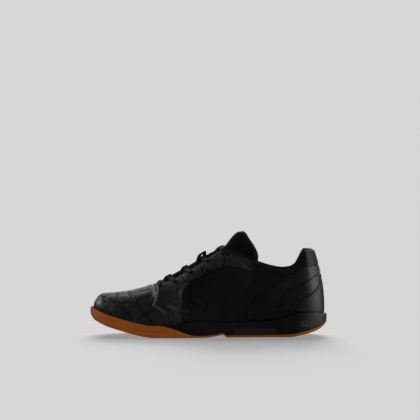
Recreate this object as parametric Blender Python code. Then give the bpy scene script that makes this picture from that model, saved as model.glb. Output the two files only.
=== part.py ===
"""Indoor court shoe for the left foot, as an assembly of separate solids.

Metres, +Z up. The toe points to -X, the outer side of the foot is -Y, the floor is Z = 0.
Sizes below are in millimetres and are scaled by MM where a vertex is made.
A place on the shoe is given by its turn (0 at the toe tip, 1 at the heel), its side
(OUTER or INNER) and, on the upper, its level (0 at the sole, 1 at the throat or collar edge).
"""

import math

import bmesh
import bpy
from mathutils import Vector

MM = 0.001
OUTER, INNER = -1, 1

# Driving sizes
SOLE_LENGTH = 284.0
TOE_ROUND = 62.0       # length over which the sole's outline closes at the toe
HEEL_ROUND = 40.0      # and at the heel
GAP = 0.3              # between pieces that are glued or sewn on the real shoe

# Sole walls, measured inwards from the sole's outline
GUM_WALL = 3.0
MIDSOLE_SEAT = GUM_WALL + GAP
UPPER_INSET = 5.0
RIM_FIT = 0.5          # room between the midsole's rim and the upper
EDGE_ROLL = 1.6        # how far the outsole's bottom edge is rolled in
EDGE_RISE = 2.4
LIP_STEP = 0.4         # recess under the heel lip of the midsole
LIP_HEIGHT = 6.0
EXPOSED_FROM = 91.0    # station where the midsole rises over the gum wall
EXPOSED_RAMP = 9.0

# Upper
UPPER_WALL = 2.2
COLLAR_PAD = 4.2       # extra thickness of the padded collar
TOE_CAP = 13.0         # length over which the toe box closes in the side view
TOE_NOSE = 2.2         # how far the toe box swells over the sole's edge
THROAT_START = 76.0
THROAT_ROUND = 9.0

# Pieces sewn on the upper
OVERLAY_GAP = 0.55
OVERLAY_THICK = 1.05
PANEL_GAP = 0.6        # open seam between two neighbouring overlays
OVER_RIM = 1.0         # bare strip of the upper over the midsole's rim

INSOLE_INSET = UPPER_INSET + UPPER_WALL + 0.8
INSOLE_THICK = 4.2

TONGUE_CLEAR = 0.8     # between the tongue and the upper
TONGUE_FREE_FROM = 150.0
TONGUE_BEND = 1.3      # angle in radians that half of the tongue bends through

EYELET_STATIONS = (84.0, 104.0, 124.0, 145.0, 167.0)
EYELET_DROPS = (12.0, 12.0, 10.5, 8.5, 9.5)     # below the throat edge, along the wall
EYELET_RADIUS = 2.1
LACE_WIDTH = 6.5
LACE_THICK = 1.6
LACE_CLIMB = 0.24      # share of a crossing that lies on the eyestay at each end
LACE_SLACK = 0.3      # how far a crossing keeps the slope of the eyestay over the throat
LACE_LIFT = 3.9        # middle of the lace above the upper
LACE_OVER = 0.35       # a crossing from the outer side lies this much over that height

# Tread
PIVOT_CENTRE = (-48.0, 1.0)
PIVOT_RINGS = (11.0, 19.0, 27.0)
GROOVE_WIDTH = 2.4
GROOVE_DEPTH = 1.3
HEEL_GROOVES = (38.0, 52.0, 66.0, 80.0)
HEEL_GROOVE_HALF = 23.0

# Facets
SOLE_COLUMNS = 36
UPPER_COLUMNS = 36
UPPER_ROWS = 8
INSOLE_COLUMNS = 24
HEEL_COLUMNS = 12
PUNCH_SIDES = 8
PIVOT_SIDES = 16
LACE_STEPS = 8
CUFF_COLUMNS = 12


class Profile:
    """A smooth line through (place, value) pairs that doesn't overshoot between them."""

    def __init__(self, places, values):
        self.places, self.values = places, values
        rises = [
            (values[i + 1] - values[i]) / (places[i + 1] - places[i])
            for i in range(len(places) - 1)
        ]
        self.slopes = [rises[0]]
        for before, after in zip(rises, rises[1:]):
            level = before * after <= 0
            self.slopes.append(0.0 if level else 2 * before * after / (before + after))
        self.slopes.append(rises[-1])

    def __call__(self, place):
        place = min(max(place, self.places[0]), self.places[-1])
        i = max(k for k in range(len(self.places) - 1) if self.places[k] <= place)
        span = self.places[i + 1] - self.places[i]
        t = (place - self.places[i]) / span
        return (
            (1 + 2 * t) * (1 - t) ** 2 * self.values[i]
            + t * (1 - t) ** 2 * span * self.slopes[i]
            + t * t * (3 - 2 * t) * self.values[i + 1]
            - t * t * (1 - t) * span * self.slopes[i + 1]
        )


class Table:
    """Rows of sections: every column after the first becomes a Profile over the first."""

    def __init__(self, columns, *rows):
        places = [row[0] for row in rows]
        for k, name in enumerate(columns.split()[1:], start=1):
            setattr(self, name, Profile(places, [row[k] for row in rows]))


# Outline of the sole from above; the ends are rounded by TOE_ROUND and HEEL_ROUND
PLAN = Table(
    "station centre half",
    (0, 6.0, 47.0),
    (20, 4.5, 46.5),
    (40, 2.2, 46.8),
    (60, 0.4, 48.5),
    (80, -0.3, 49.8),
    (100, -2.0, 49.3),
    (120, -3.4, 46.0),
    (140, -4.3, 41.5),
    (160, -4.4, 38.0),
    (180, -3.4, 36.0),
    (200, -2.0, 35.5),
    (240, -0.4, 36.0),
    (284, 0.0, 36.0),
)

# Underside of the outsole, with toe spring, arch and heel bevel
GROUND = Table(
    "station height",
    (0, 19.5),
    (6, 17.2),
    (13, 14.6),
    (20, 12.3),
    (35, 8.2),
    (49, 4.7),
    (63, 1.7),
    (76, 0.0),
    (136, 0.0),
    (150, 1.4),
    (160, 3.2),
    (164, 0.0),
    (238, 0.0),
    (254, 2.6),
    (268, 6.0),
    (276, 9.2),
    (281, 12.4),
    (284, 15.0),
)

# Heights above the underside: the outsole's floor and wall, the midsole's floor
LAYERS = Table(
    "station gum_floor gum_top midsole_floor",
    (0, 4.5, 14.6, 8.2),
    (30, 4.2, 14.4, 8.2),
    (80, 4.0, 14.3, 8.4),
    (90, 4.0, 13.4, 8.6),
    (98, 3.6, 11.6, 9.0),
    (106, 3.0, 8.8, 9.6),
    (114, 2.6, 5.6, 10.2),
    (122, 2.3, 3.2, 10.8),
    (132, 2.2, 2.4, 11.2),
    (160, 2.2, 2.3, 9.6),
    (166, 2.4, 2.5, 12.8),
    (200, 2.6, 2.7, 13.8),
    (238, 3.2, 3.3, 15.0),
    (260, 3.6, 3.7, 11.2),
    (284, 3.8, 3.9, 2.6),
)

# Top of the midsole's rim above the floor, where it shows behind the gum wall
RIM = Table(
    "station height",
    (91, 14.0),
    (104, 15.2),
    (120, 18.4),
    (134, 20.6),
    (150, 18.4),
    (168, 17.4),
    (206, 18.2),
    (224, 20.8),
    (235, 24.4),
    (244, 27.6),
    (256, 28.8),
    (270, 28.4),
    (284, 26.8),
)

# Sections of the upper: top edge height, half opening, tilt of the wall at its top in degrees,
# height of the lower bend as a share of the rise, outward swell, and length of the upper bend
UPPER = Table(
    "station top opening tilt lift swell shoulder",
    (0, 49.0, 0.0, 1, 0.60, 4.0, 0.60),
    (20, 50.4, 0.0, 1, 0.60, 4.5, 0.60),
    (45, 53.2, 0.0, 3, 0.58, 4.5, 0.60),
    (62, 57.0, 0.0, 7, 0.56, 4.5, 0.58),
    (76, 61.2, 9.0, 13, 0.52, 4.5, 0.56),
    (95, 66.0, 10.0, 20, 0.46, 4.0, 0.52),
    (118, 77.4, 11.5, 28, 0.40, 3.4, 0.46),
    (139, 90.4, 13.0, 36, 0.36, 3.0, 0.42),
    (153, 100.0, 15.0, 44, 0.34, 3.0, 0.40),
    (164, 105.0, 18.5, 53, 0.34, 3.0, 0.38),
    (177, 100.8, 22.5, 62, 0.34, 3.2, 0.36),
    (189, 94.4, 25.0, 68, 0.34, 3.4, 0.35),
    (202, 87.6, 27.0, 72, 0.35, 3.6, 0.35),
    (216, 82.9, 28.0, 74, 0.35, 3.6, 0.35),
    (231, 80.4, 28.0, 74, 0.35, 3.4, 0.35),
    (239, 81.0, 27.6, 74, 0.35, 3.2, 0.35),
    (247, 84.2, 26.8, 73, 0.35, 3.0, 0.35),
    (255, 92.6, 26.2, 72, 0.35, 2.8, 0.35),
    (260, 99.0, 26.0, 71, 0.35, 2.7, 0.35),
    (267, 103.4, 25.6, 70, 0.35, 2.6, 0.35),
    (284, 103.4, 25.0, 70, 0.35, 2.4, 0.35),
)

# How far the top edge leans towards the toe over the heel
HEEL_LEAN = Table("station forward", (0, 0.0), (200, 0.0), (240, 1.0), (262, 5.4), (284, 12.0))

# Lower edge of the eyestay, with its wing to the sole and its lobes round the eyelets
EYESTAY = Table(
    "station low",
    (76, 36.4),
    (80, 34.4),
    (86, 30.2),
    (94, 24.4),
    (100, 20.2),
    (105, 16.8),
    (108.6, 16.4),
    (109.6, 30.0),
    (110.4, 44.0),
    (112, 53.6),
    (117, 60.6),
    (121, 65.4),
    (126, 68.4),
    (132, 70.8),
    (138, 75.2),
    (142, 78.8),
    (148, 79.6),
    (156, 82.0),
    (165, 84.8),
    (178, 82.6),
    (194, 78.6),
)
EYELETS = Table("station drop", *zip(EYELET_STATIONS, EYELET_DROPS))
# Front edge of the wing, up to the throat
EYESTAY_FRONT = Table("station height", (76, 37.6), (78, 43.4), (80, 49.6), (81, 55.0), (82, 63.0))
# Its columns, as stretches from one station to the next with a number of steps
EYESTAY_COLUMNS = ((76, 80, 3), (80, 86, 4), (86, 108.6, 5), (108.6, 112, 3), (112, 194, 13))
EYESTAY_ROWS = (0, 0.19, 0.38, 0.56, 0.73, 0.87, 1)

# Seams round the heel, as heights: top of the counter, then lower and upper edge of the ribbed band
HEEL_SEAMS = Table(
    "station counter band band_top",
    (188, 20.0, 35.0, 35.0),
    (194, 20.0, 39.4, 39.4),
    (210, 20.0, 53.4, 53.4),
    (219, 20.0, 60.2, 60.2),
    (233.8, 20.0, 67.4, 68.4),
    (236, 22.0, 56.6, 69.8),
    (240, 24.6, 57.4, 72.0),
    (246, 32.6, 59.4, 75.6),
    (251, 40.4, 61.6, 79.2),
    (256, 45.2, 63.8, 81.4),
    (266, 50.6, 68.2, 83.4),
    (276, 58.4, 72.6, 84.6),
    (284, 69.0, 75.0, 85.2),
)
CUFF_FROM, CUFF_TO = 197.0, 263.0
CUFF_WIDTH = 5.0
TAB_FROM = 264.0
EDGE_BARE = 1.2        # strip of the upper left bare along the collar edge
BAND_FROM = 236.0
BAND_STEP = 233.8      # the rear quarter steps down here to make room for the band
COUNTER_FROM = 246.0
QUARTER_FROM = 188.0

# Tongue down the middle: place of its ridge, half width, how far its edges wrap back, thickness
TONGUE = Table(
    "share x z half wrap direction thick",
    (0.00, -72.0, 54.2, 9.0, 2.0, 70, 2.6),
    (0.08, -61.0, 58.8, 11.0, 2.6, 68, 3.0),
    (0.18, -47.0, 67.4, 14.5, 4.0, 66, 3.6),
    (0.36, -24.0, 80.2, 17.0, 7.0, 62, 4.6),
    (0.53, -3.0, 93.0, 19.0, 12.0, 56, 5.0),
    (0.65, 11.0, 100.4, 21.0, 22.0, 46, 5.0),
    (0.74, 17.5, 104.8, 21.0, 38.0, 34, 5.6),
    (0.82, 23.0, 112.6, 21.0, 41.0, 31, 6.0),
    (0.90, 28.5, 119.4, 19.0, 27.0, 28, 6.0),
    (0.95, 33.0, 123.4, 15.5, 13.5, 26, 6.0),
    (1.00, 37.5, 125.6, 9.0, 6.0, 20, 5.6),
)

LEATHER = (0.012, 0.012, 0.013)
SYNTHETIC = (0.010, 0.010, 0.011)
KNIT = (0.008, 0.008, 0.009)
FOAM = (0.014, 0.014, 0.015)
GUM = (0.36, 0.135, 0.028)


def rounded(share):
    """Quarter circle from 0 to 1."""
    share = min(max(share, 0.0), 1.0)
    return math.sqrt(1 - (1 - share) ** 2)


def eased(share):
    """Smooth step from 0 to 1."""
    share = min(max(share, 0.0), 1.0)
    return share * share * (3 - 2 * share)


def station(turn):
    return SOLE_LENGTH * (1 - math.cos(math.pi * turn)) / 2


def turn_at(place):
    return math.acos(1 - 2 * place / SOLE_LENGTH) / math.pi


def outline(turn, side, inset=0.0):
    """Plan point of the sole's edge, moved in along its own normal."""

    def edge(t):
        place = station(t)
        half = PLAN.half(place) * rounded(place / TOE_ROUND)
        half *= rounded((SOLE_LENGTH - place) / HEEL_ROUND)
        past_the_tip = -1 if t < 0 or t > 1 else 1
        return Vector((place - SOLE_LENGTH / 2, PLAN.centre(place) + past_the_tip * side * half))

    step = 1e-4
    along = (edge(turn + step) - edge(turn - step)).normalized()
    outward = side * Vector((-along.y, along.x))
    return edge(turn) - inset * outward, outward


def ground(turn):
    return GROUND.height(station(turn))


def gum_floor(turn):
    return ground(turn) + LAYERS.gum_floor(station(turn))


def gum_top(turn):
    return ground(turn) + LAYERS.gum_top(station(turn))


def midsole_floor(turn):
    return ground(turn) + LAYERS.midsole_floor(station(turn))


def exposed(turn):
    """0 where the gum wall hides the midsole, 1 where the midsole makes the sole's side."""
    return eased((station(turn) - EXPOSED_FROM) / EXPOSED_RAMP)


def rim_top(turn):
    hidden = midsole_floor(turn) + 2.0
    shown = max(RIM.height(station(turn)), gum_top(turn) + 2 * GAP)
    return shown if station(turn) >= EXPOSED_FROM else hidden


def half_opening(place):
    """Half width of the throat and collar, closed before the throat and round the heel."""
    opening = UPPER.opening(place) * rounded((place - THROAT_START) / THROAT_ROUND)
    return opening * rounded((SOLE_LENGTH - place) / HEEL_ROUND)


def upper_wall(turn, side, level):
    """Point of the upper's outer face."""
    if turn < 0:
        turn, side = -turn, -side
    if turn > 1:
        turn, side = 2 - turn, -side
    place = station(turn)
    closing = rounded(place / TOE_CAP)
    foot, outward = outline(turn, side, UPPER_INSET)
    low = midsole_floor(turn) + GAP
    rise = (UPPER.top(place) - low) * closing
    lean = HEEL_LEAN.forward(place) + TOE_NOSE * 4 * closing * (1 - closing)
    top = Vector((foot.x - lean, PLAN.centre(place) + side * half_opening(place), low + rise))
    start = Vector((foot.x, foot.y, low))
    across = Vector((0, side, 0))
    back = eased((place - 200) / 60)
    away = (1 - back) * across + back * Vector((outward.x, outward.y, 0))
    tilt = math.radians(UPPER.tilt(place))
    span = abs(foot.y - top.y)
    reach = UPPER.shoulder(place) * math.hypot(span * math.cos(tilt), rise * math.sin(tilt))
    swell = UPPER.swell(place) * closing
    low_bend = start + Vector((outward.x * swell, outward.y * swell, UPPER.lift(place) * rise))
    high_bend = top + reach * (math.cos(tilt) * away - math.sin(tilt) * Vector((0, 0, 1)))
    far = 1 - level
    return (
        far**3 * start
        + 3 * far * far * level * low_bend
        + 3 * far * level * level * high_bend
        + level**3 * top
    )


def upper_skin(turn, side, level, lift):
    """Point at a distance outside the upper's outer face."""
    step = 1e-3
    along = upper_wall(turn + step, side, level) - upper_wall(turn - step, side, level)
    up = upper_wall(turn, side, level + step) - upper_wall(turn, side, level - step)
    return upper_wall(turn, side, level) + lift * side * up.cross(along).normalized()


def level_at(turn, side, height):
    """Level where the upper reaches a height."""
    low, high = 0.0, 1.0
    for _ in range(30):
        middle = (low + high) / 2
        if upper_wall(turn, side, middle).z < height:
            low = middle
        else:
            high = middle
    return (low + high) / 2


def level_below_edge(turn, side, distance):
    """Level at a distance below the top edge, measured along the wall."""
    level, gone = 1.0, 0.0
    step = 0.01
    while gone < distance and level > step:
        here = upper_wall(turn, side, level)
        gone += (here - upper_wall(turn, side, level - step)).length
        level -= step
    return level


def shift_to_centre():
    """Sideways shift that puts the sole's outline evenly about Y = 0."""
    turns = [k / 400 for k in range(401)]
    edges = [outline(t, side)[0].y for t in turns for side in (OUTER, INNER)]
    return -(min(edges) + max(edges)) / 2


SIDE_SHIFT = shift_to_centre()
HEEL_FIRST = turn_at(QUARTER_FROM)
HEEL_TURNS = sorted(
    [HEEL_FIRST + (1 - HEEL_FIRST) * k / HEEL_COLUMNS for k in range(HEEL_COLUMNS + 1)]
    + [turn_at(BAND_STEP), turn_at(BAND_FROM)]
)


def in_metres(point):
    return Vector((point[0] * MM, (point[1] + SIDE_SHIFT) * MM, point[2] * MM))


def vertex(bm, point):
    return bm.verts.new(in_metres(point))


def even_steps(count):
    return [k / count for k in range(count + 1)]


def walk(turns):
    """Once round the shoe: down the outer side to the heel and back up the inner side."""
    return [(t, OUTER) for t in turns] + [(t, INNER) for t in reversed(turns[1:-1])]


def join_rows(bm, rows, closed):
    for low, high in zip(rows, rows[1:]):
        count = len(low)
        for i in range(count if closed else count - 1):
            k = (i + 1) % count
            bm.faces.new((low[i], low[k], high[k], high[i]))


def cap(bm, ring):
    """Fills a ring from walk() with rungs between the outer and the inner side."""
    count = len(ring)
    last = count // 2
    bm.faces.new((ring[0], ring[1], ring[-1]))
    for i in range(1, last - 1):
        bm.faces.new((ring[i], ring[i + 1], ring[count - i - 1], ring[count - i]))
    bm.faces.new((ring[last - 1], ring[last], ring[last + 1]))


def material(name, colour, roughness):
    made = bpy.data.materials.get(name)
    if made is None:
        made = bpy.data.materials.new(name)
        made.use_nodes = True
        shader = made.node_tree.nodes["Principled BSDF"]
        shader.inputs["Base Color"].default_value = (*colour, 1)
        shader.inputs["Roughness"].default_value = roughness
    return made


def add_object(name, bm, finish, parent):
    bmesh.ops.remove_doubles(bm, verts=bm.verts, dist=0.02 * MM)
    bmesh.ops.triangulate(bm, faces=bm.faces)
    bmesh.ops.recalc_face_normals(bm, faces=bm.faces)
    mesh = bpy.data.meshes.new(name)
    bm.to_mesh(mesh)
    bm.free()
    mesh.shade_smooth()
    mesh.set_sharp_from_angle(angle=math.radians(40))
    mesh.materials.append(finish)
    made = bpy.data.objects.new(name, mesh)
    bpy.context.scene.collection.objects.link(made)
    made.parent = parent
    return made


def ring_solid(name, turns, rings, finish, parent):
    """Solid whose skin runs through rings round the shoe, closed by caps at both ends."""
    bm = bmesh.new()
    rows = [[vertex(bm, ring(turn, side)) for turn, side in walk(turns)] for ring in rings]
    join_rows(bm, rows, closed=True)
    cap(bm, rows[0])
    cap(bm, rows[-1])
    return add_object(name, bm, finish, parent)


def thicken(bm, inward):
    """Turns an open skin into a wall: a copy goes to the inward places, and the rims are joined."""
    rims = [edge for edge in bm.edges if edge.is_boundary]
    inner = {v: bm.verts.new(place) for v, place in inward.items()}
    for face in list(bm.faces):
        bm.faces.new([inner[v] for v in reversed(face.verts)])
    for edge in rims:
        a, b = edge.verts
        bm.faces.new((a, b, inner[b], inner[a]))


def inset_by_depth(bm, depths):
    """Where each vertex of a skin goes when it is pushed in by its own depth in millimetres."""
    bmesh.ops.remove_doubles(bm, verts=bm.verts, dist=0.02 * MM)
    bmesh.ops.recalc_face_normals(bm, faces=bm.faces)
    bm.normal_update()
    return {v: v.co - v.normal * v[depths] * MM for v in bm.verts}


def ring_point(inset, height):
    """Ring at an inset from the sole's outline and a height, both functions of turn."""

    def place(turn, side):
        plan, _ = outline(turn, side, inset(turn))
        return plan.x, plan.y, height(turn)

    return place


def build_outsole(turns, finish, parent):
    """Gum cup: rolled bottom edge, side wall that drops away behind the ball, floor inside."""

    def rolled(turn):
        return ground(turn) + min(EDGE_RISE, 0.6 * LAYERS.gum_top(station(turn)))

    outsole = ring_solid(
        "outsole",
        turns,
        (
            ring_point(lambda t: EDGE_ROLL, ground),
            ring_point(lambda t: 0.0, rolled),
            ring_point(lambda t: 0.0, gum_top),
            ring_point(lambda t: GUM_WALL, gum_top),
            ring_point(lambda t: GUM_WALL + 0.2, gum_floor),
        ),
        finish,
        parent,
    )
    for k, radius in enumerate(PIVOT_RINGS):
        cut(outsole, pivot_groove(f"pivot_groove_{k}", radius, parent))
    for k, place in enumerate(HEEL_GROOVES):
        cut(outsole, heel_groove(f"heel_groove_{k}", place, parent))
    return outsole


def cut(target, cutter):
    cutter.hide_render = True
    cutter.display_type = "WIRE"
    modifier = target.modifiers.new(cutter.name, "BOOLEAN")
    modifier.operation = "DIFFERENCE"
    modifier.object = cutter


def groove_object(name, bm, parent):
    bmesh.ops.recalc_face_normals(bm, faces=bm.faces)
    mesh = bpy.data.meshes.new(name)
    bm.to_mesh(mesh)
    bm.free()
    made = bpy.data.objects.new(name, mesh)
    bpy.context.scene.collection.objects.link(made)
    made.parent = parent
    return made


def pivot_groove(name, radius, parent):
    """Ring-shaped cutter under the ball of the foot."""
    bm = bmesh.new()
    inner, outer = (radius - GROOVE_WIDTH / 2) * MM, (radius + GROOVE_WIDTH / 2) * MM
    low, high = -2.0 * MM, GROOVE_DEPTH * MM
    corners = [(inner, low), (outer, low), (outer, high), (inner, high)]
    profile = [bm.verts.new((r, 0, z)) for r, z in corners]
    edges = [bm.edges.new((profile[i], profile[(i + 1) % 4])) for i in range(4)]
    bmesh.ops.spin(
        bm, geom=profile + edges, cent=(0, 0, 0), axis=(0, 0, 1),
        angle=2 * math.pi, steps=PIVOT_SIDES, use_merge=True,
    )
    made = groove_object(name, bm, parent)
    made.location = (PIVOT_CENTRE[0] * MM, (PIVOT_CENTRE[1] + SIDE_SHIFT) * MM, 0)
    return made


def heel_groove(name, place, parent):
    """Bar-shaped cutter across the heel."""
    bm = bmesh.new()
    bmesh.ops.create_cube(bm, size=1.0)
    tall = GROOVE_DEPTH + 2.0
    size = Vector((GROOVE_WIDTH, 2 * HEEL_GROOVE_HALF, tall)) * MM
    bmesh.ops.scale(bm, vec=size, verts=bm.verts)
    made = groove_object(name, bm, parent)
    made.location = (place * MM, 0, (GROOVE_DEPTH - tall / 2) * MM)
    return made


def build_midsole(turns, finish, parent):
    """Foam cup that sits in the gum cup and rises past it, with a lip round the heel."""

    def ledge(turn):
        return gum_top(turn) + GAP if station(turn) >= EXPOSED_FROM else rim_top(turn)

    def side_inset(turn):
        return MIDSOLE_SEAT * (1 - exposed(turn))

    def lip_share(turn):
        return eased((station(turn) - 236) / 14)

    def below_lip(turn):
        return max(rim_top(turn) - LIP_HEIGHT, ledge(turn)) if exposed(turn) else ledge(turn)

    def recess(turn):
        return side_inset(turn) + LIP_STEP * lip_share(turn)

    def lip_foot(turn):
        return min(below_lip(turn) + LIP_STEP * lip_share(turn), rim_top(turn))

    hidden_inside = ring_point(lambda t: UPPER_INSET - 2 * RIM_FIT, rim_top)

    def rim_inside(turn, side):
        if station(turn) < EXPOSED_FROM:
            return hidden_inside(turn, side)
        level = level_at(turn, side, rim_top(turn))
        return upper_skin(turn, side, level, RIM_FIT)

    return ring_solid(
        "midsole",
        turns,
        (
            ring_point(lambda t: MIDSOLE_SEAT + 0.3, lambda t: gum_floor(t) + GAP),
            ring_point(lambda t: MIDSOLE_SEAT, ledge),
            ring_point(side_inset, ledge),
            ring_point(recess, below_lip),
            ring_point(side_inset, lip_foot),
            ring_point(side_inset, rim_top),
            rim_inside,
            ring_point(lambda t: UPPER_INSET - GAP, midsole_floor),
        ),
        finish,
        parent,
    )


def build_insole(turns, finish, parent):
    def low(turn):
        return midsole_floor(turn) + GAP

    def high(turn):
        return low(turn) + INSOLE_THICK

    def inset(turn):
        return INSOLE_INSET

    rings = (
        ring_point(inset, low),
        ring_point(inset, lambda t: high(t) - 1.0),
        ring_point(lambda t: INSOLE_INSET + 1.0, high),
    )
    return ring_solid("insole", turns, rings, finish, parent)


def wall_depth(turn, level):
    """Thickness of the upper, with the padded collar round the ankle."""
    place = station(turn)
    pad = eased((place - 186) / 26) * eased((level - 0.62) / 0.26)
    return UPPER_WALL + COLLAR_PAD * pad * (1 - 0.45 * eased((level - 0.9) / 0.1))


def build_upper(turns, levels, finish, parent):
    """Hollow upper: a ring of columns from the sole to the throat and collar edge."""
    bm = bmesh.new()
    depths = bm.verts.layers.float.new("depth")
    rows = []
    for level in levels:
        row = []
        for turn, side in walk(turns):
            made = vertex(bm, upper_wall(turn, side, level))
            made[depths] = wall_depth(turn, level)
            row.append(made)
        rows.append(row)
    join_rows(bm, rows, closed=True)
    thicken(bm, inset_by_depth(bm, depths))
    return add_object("upper", bm, finish, parent)


def build_overlay(name, columns, low, high, shares, finish, parent):
    """Piece sewn on the upper: a patch of its own skin between two levels in each column.

    The shares say where its rows lie, from 0 at the lower edge to 1 at the upper.
    """
    bm = bmesh.new()
    grid, inward = [], {}
    for share in shares:
        row = []
        for turn, side in columns:
            bottom, top = low(turn, side), high(turn, side)
            level = bottom + (top - bottom) * share
            made = vertex(bm, upper_skin(turn, side, level, OVERLAY_GAP + OVERLAY_THICK))
            inward[made] = in_metres(upper_skin(turn, side, level, OVERLAY_GAP))
            row.append(made)
        grid.append(row)
    join_rows(bm, grid, closed=False)
    thicken(bm, inward)
    return add_object(name, bm, finish, parent)


def spaced_turns(first, last, count):
    return [turn_at(first + (last - first) * share) for share in even_steps(count)]


def build_eyestay(name, side, finish, parent):
    stretches = [spaced_turns(first, last, count) for first, last, count in EYESTAY_COLUMNS]
    turns = stretches[0] + [turn for stretch in stretches[1:] for turn in stretch[1:]]
    columns = [(turn, side) for turn in turns]

    def low(turn, side):
        return level_at(turn, side, max(EYESTAY.low(station(turn)), rim_top(turn) + OVER_RIM))

    def high(turn, side):
        edge = level_below_edge(turn, side, 1.6)
        if station(turn) > EYESTAY_FRONT.height.places[-1]:
            return edge
        return min(edge, level_at(turn, side, EYESTAY_FRONT.height(station(turn))))

    piece = build_overlay(name, columns, low, high, EYESTAY_ROWS, finish, parent)
    for k, place in enumerate(EYELET_STATIONS):
        cut(piece, eyelet_punch(f"{name}_punch_{k}", place, side, parent))
    return piece


def eyelet_frame(place, side):
    """Centre of an eyelet on the wall, and the direction out of it."""
    turn = turn_at(place)
    level = level_below_edge(turn, side, EYELETS.drop(place))
    centre = upper_wall(turn, side, level)
    return centre, (upper_skin(turn, side, level, 1.0) - centre).normalized()


def eyelet_punch(name, place, side, parent):
    """Round cutter through the eyestay and the upper's wall."""
    centre, out = eyelet_frame(place, side)
    bm = bmesh.new()
    bmesh.ops.create_cone(
        bm, cap_ends=True, segments=PUNCH_SIDES, radius1=EYELET_RADIUS * MM,
        radius2=EYELET_RADIUS * MM, depth=12 * MM,
    )
    made = groove_object(name, bm, parent)
    made.location = (centre.x * MM, (centre.y + SIDE_SHIFT) * MM, centre.z * MM)
    made.rotation_euler = out.to_track_quat("Z", "Y").to_euler()
    return made


def heel_columns(first):
    """Columns from a station on the outer side, round the heel, to the same one inside."""
    turns = [t for t in HEEL_TURNS if station(t) > first - 0.1]
    return [(t, OUTER) for t in turns] + [(t, INNER) for t in reversed(turns[:-1])]


def seam_level(seam, offset=0.0):
    def level(turn, side):
        return level_at(turn, side, seam(station(turn)) + offset)

    return level


def build_heel_overlays(finish, parent):
    """Counter at the foot of the heel, rear quarter above and before it, ribbed band on top."""
    half_gap = PANEL_GAP / 2

    def sole_line(turn, side):
        return level_at(turn, side, rim_top(turn) + OVER_RIM)

    def quarter_low(turn, side):
        shown = max(HEEL_SEAMS.counter(station(turn)) + half_gap, rim_top(turn) + OVER_RIM)
        return level_at(turn, side, shown)

    def quarter_high(turn, side):
        return level_at(turn, side, HEEL_SEAMS.band(station(turn)) - half_gap)

    def counter_high(turn, side):
        return level_at(turn, side, HEEL_SEAMS.counter(station(turn)) - half_gap)

    build_overlay(
        "rear_quarter", heel_columns(QUARTER_FROM), quarter_low, quarter_high, even_steps(4),
        finish, parent,
    )
    build_overlay(
        "heel_counter", heel_columns(COUNTER_FROM), sole_line, counter_high, even_steps(4),
        finish, parent,
    )
    build_overlay(
        "heel_band", heel_columns(BAND_FROM), seam_level(HEEL_SEAMS.band, half_gap),
        seam_level(HEEL_SEAMS.band_top, -half_gap), even_steps(4), finish, parent,
    )


def build_collar_pieces(finish, parent):
    """Padded cuff along each side of the collar, and the tab between them at the back."""

    def edge(turn, side):
        return level_below_edge(turn, side, EDGE_BARE)

    def cuff_low(turn, side):
        strip = level_below_edge(turn, side, EDGE_BARE + CUFF_WIDTH)
        deep = level_at(turn, side, HEEL_SEAMS.band_top(station(turn)) + PANEL_GAP / 2)
        share = eased((station(turn) - BAND_FROM) / 10)
        return strip + (min(deep, strip) - strip) * share

    cuff_turns = spaced_turns(CUFF_FROM, CUFF_TO, CUFF_COLUMNS)
    for name, side in (("cuff_outer", OUTER), ("cuff_inner", INNER)):
        columns = [(t, side) for t in cuff_turns]
        build_overlay(name, columns, cuff_low, edge, even_steps(2), finish, parent)
    tab_turns = [turn_at(TAB_FROM) + (1 - turn_at(TAB_FROM)) * k / 8 for k in range(9)]
    columns = [(t, OUTER) for t in tab_turns] + [(t, INNER) for t in reversed(tab_turns[:-1])]
    tab_low = seam_level(HEEL_SEAMS.band_top, PANEL_GAP / 2)
    build_overlay("heel_tab", columns, tab_low, edge, even_steps(4), finish, parent)


def inside_height(place, side, half):
    """Height of the upper's inner face at a station and a distance from the middle."""
    turn = turn_at(place)
    middle = PLAN.centre(place)
    low, high = 0.3, 1.0
    for _ in range(24):
        level = (low + high) / 2
        if abs(upper_skin(turn, side, level, -UPPER_WALL).y - middle) > half:
            low = level
        else:
            high = level
    return upper_skin(turn, side, low, -UPPER_WALL).z


def inside_half(place, side):
    """Half width of the opening at a station, inside the collar."""
    turn = turn_at(place)
    depth = wall_depth(turn, 0.9)
    return abs(upper_skin(turn, side, 1.0, -depth).y - PLAN.centre(place))


def tongue_point(share, across):
    """Point of the tongue's outer face: its ridge, then back along its wrap to each edge.

    Under the eyestays it dips below the upper, and behind them it stays inside the collar.
    """
    side = OUTER if across < 0 else INNER
    angle = math.radians(TONGUE.direction(share))
    bend = TONGUE_BEND * across
    wrap = TONGUE.wrap(share) * (1 - math.cos(bend)) / (1 - math.cos(TONGUE_BEND))
    x = TONGUE.x(share) + math.cos(angle) * wrap
    z = TONGUE.z(share) - math.sin(angle) * wrap
    place = x + SOLE_LENGTH / 2
    half = TONGUE.half(share) * abs(math.sin(bend)) / math.sin(TONGUE_BEND)
    if place > TONGUE_FREE_FROM:
        half = min(half, inside_half(place, side) - TONGUE_CLEAR)
    elif half >= 0.6 * half_opening(place):
        z = min(z, inside_height(place, side, half) - TONGUE_CLEAR)
    return Vector((x, PLAN.centre(place) + side * half, z))


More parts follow.
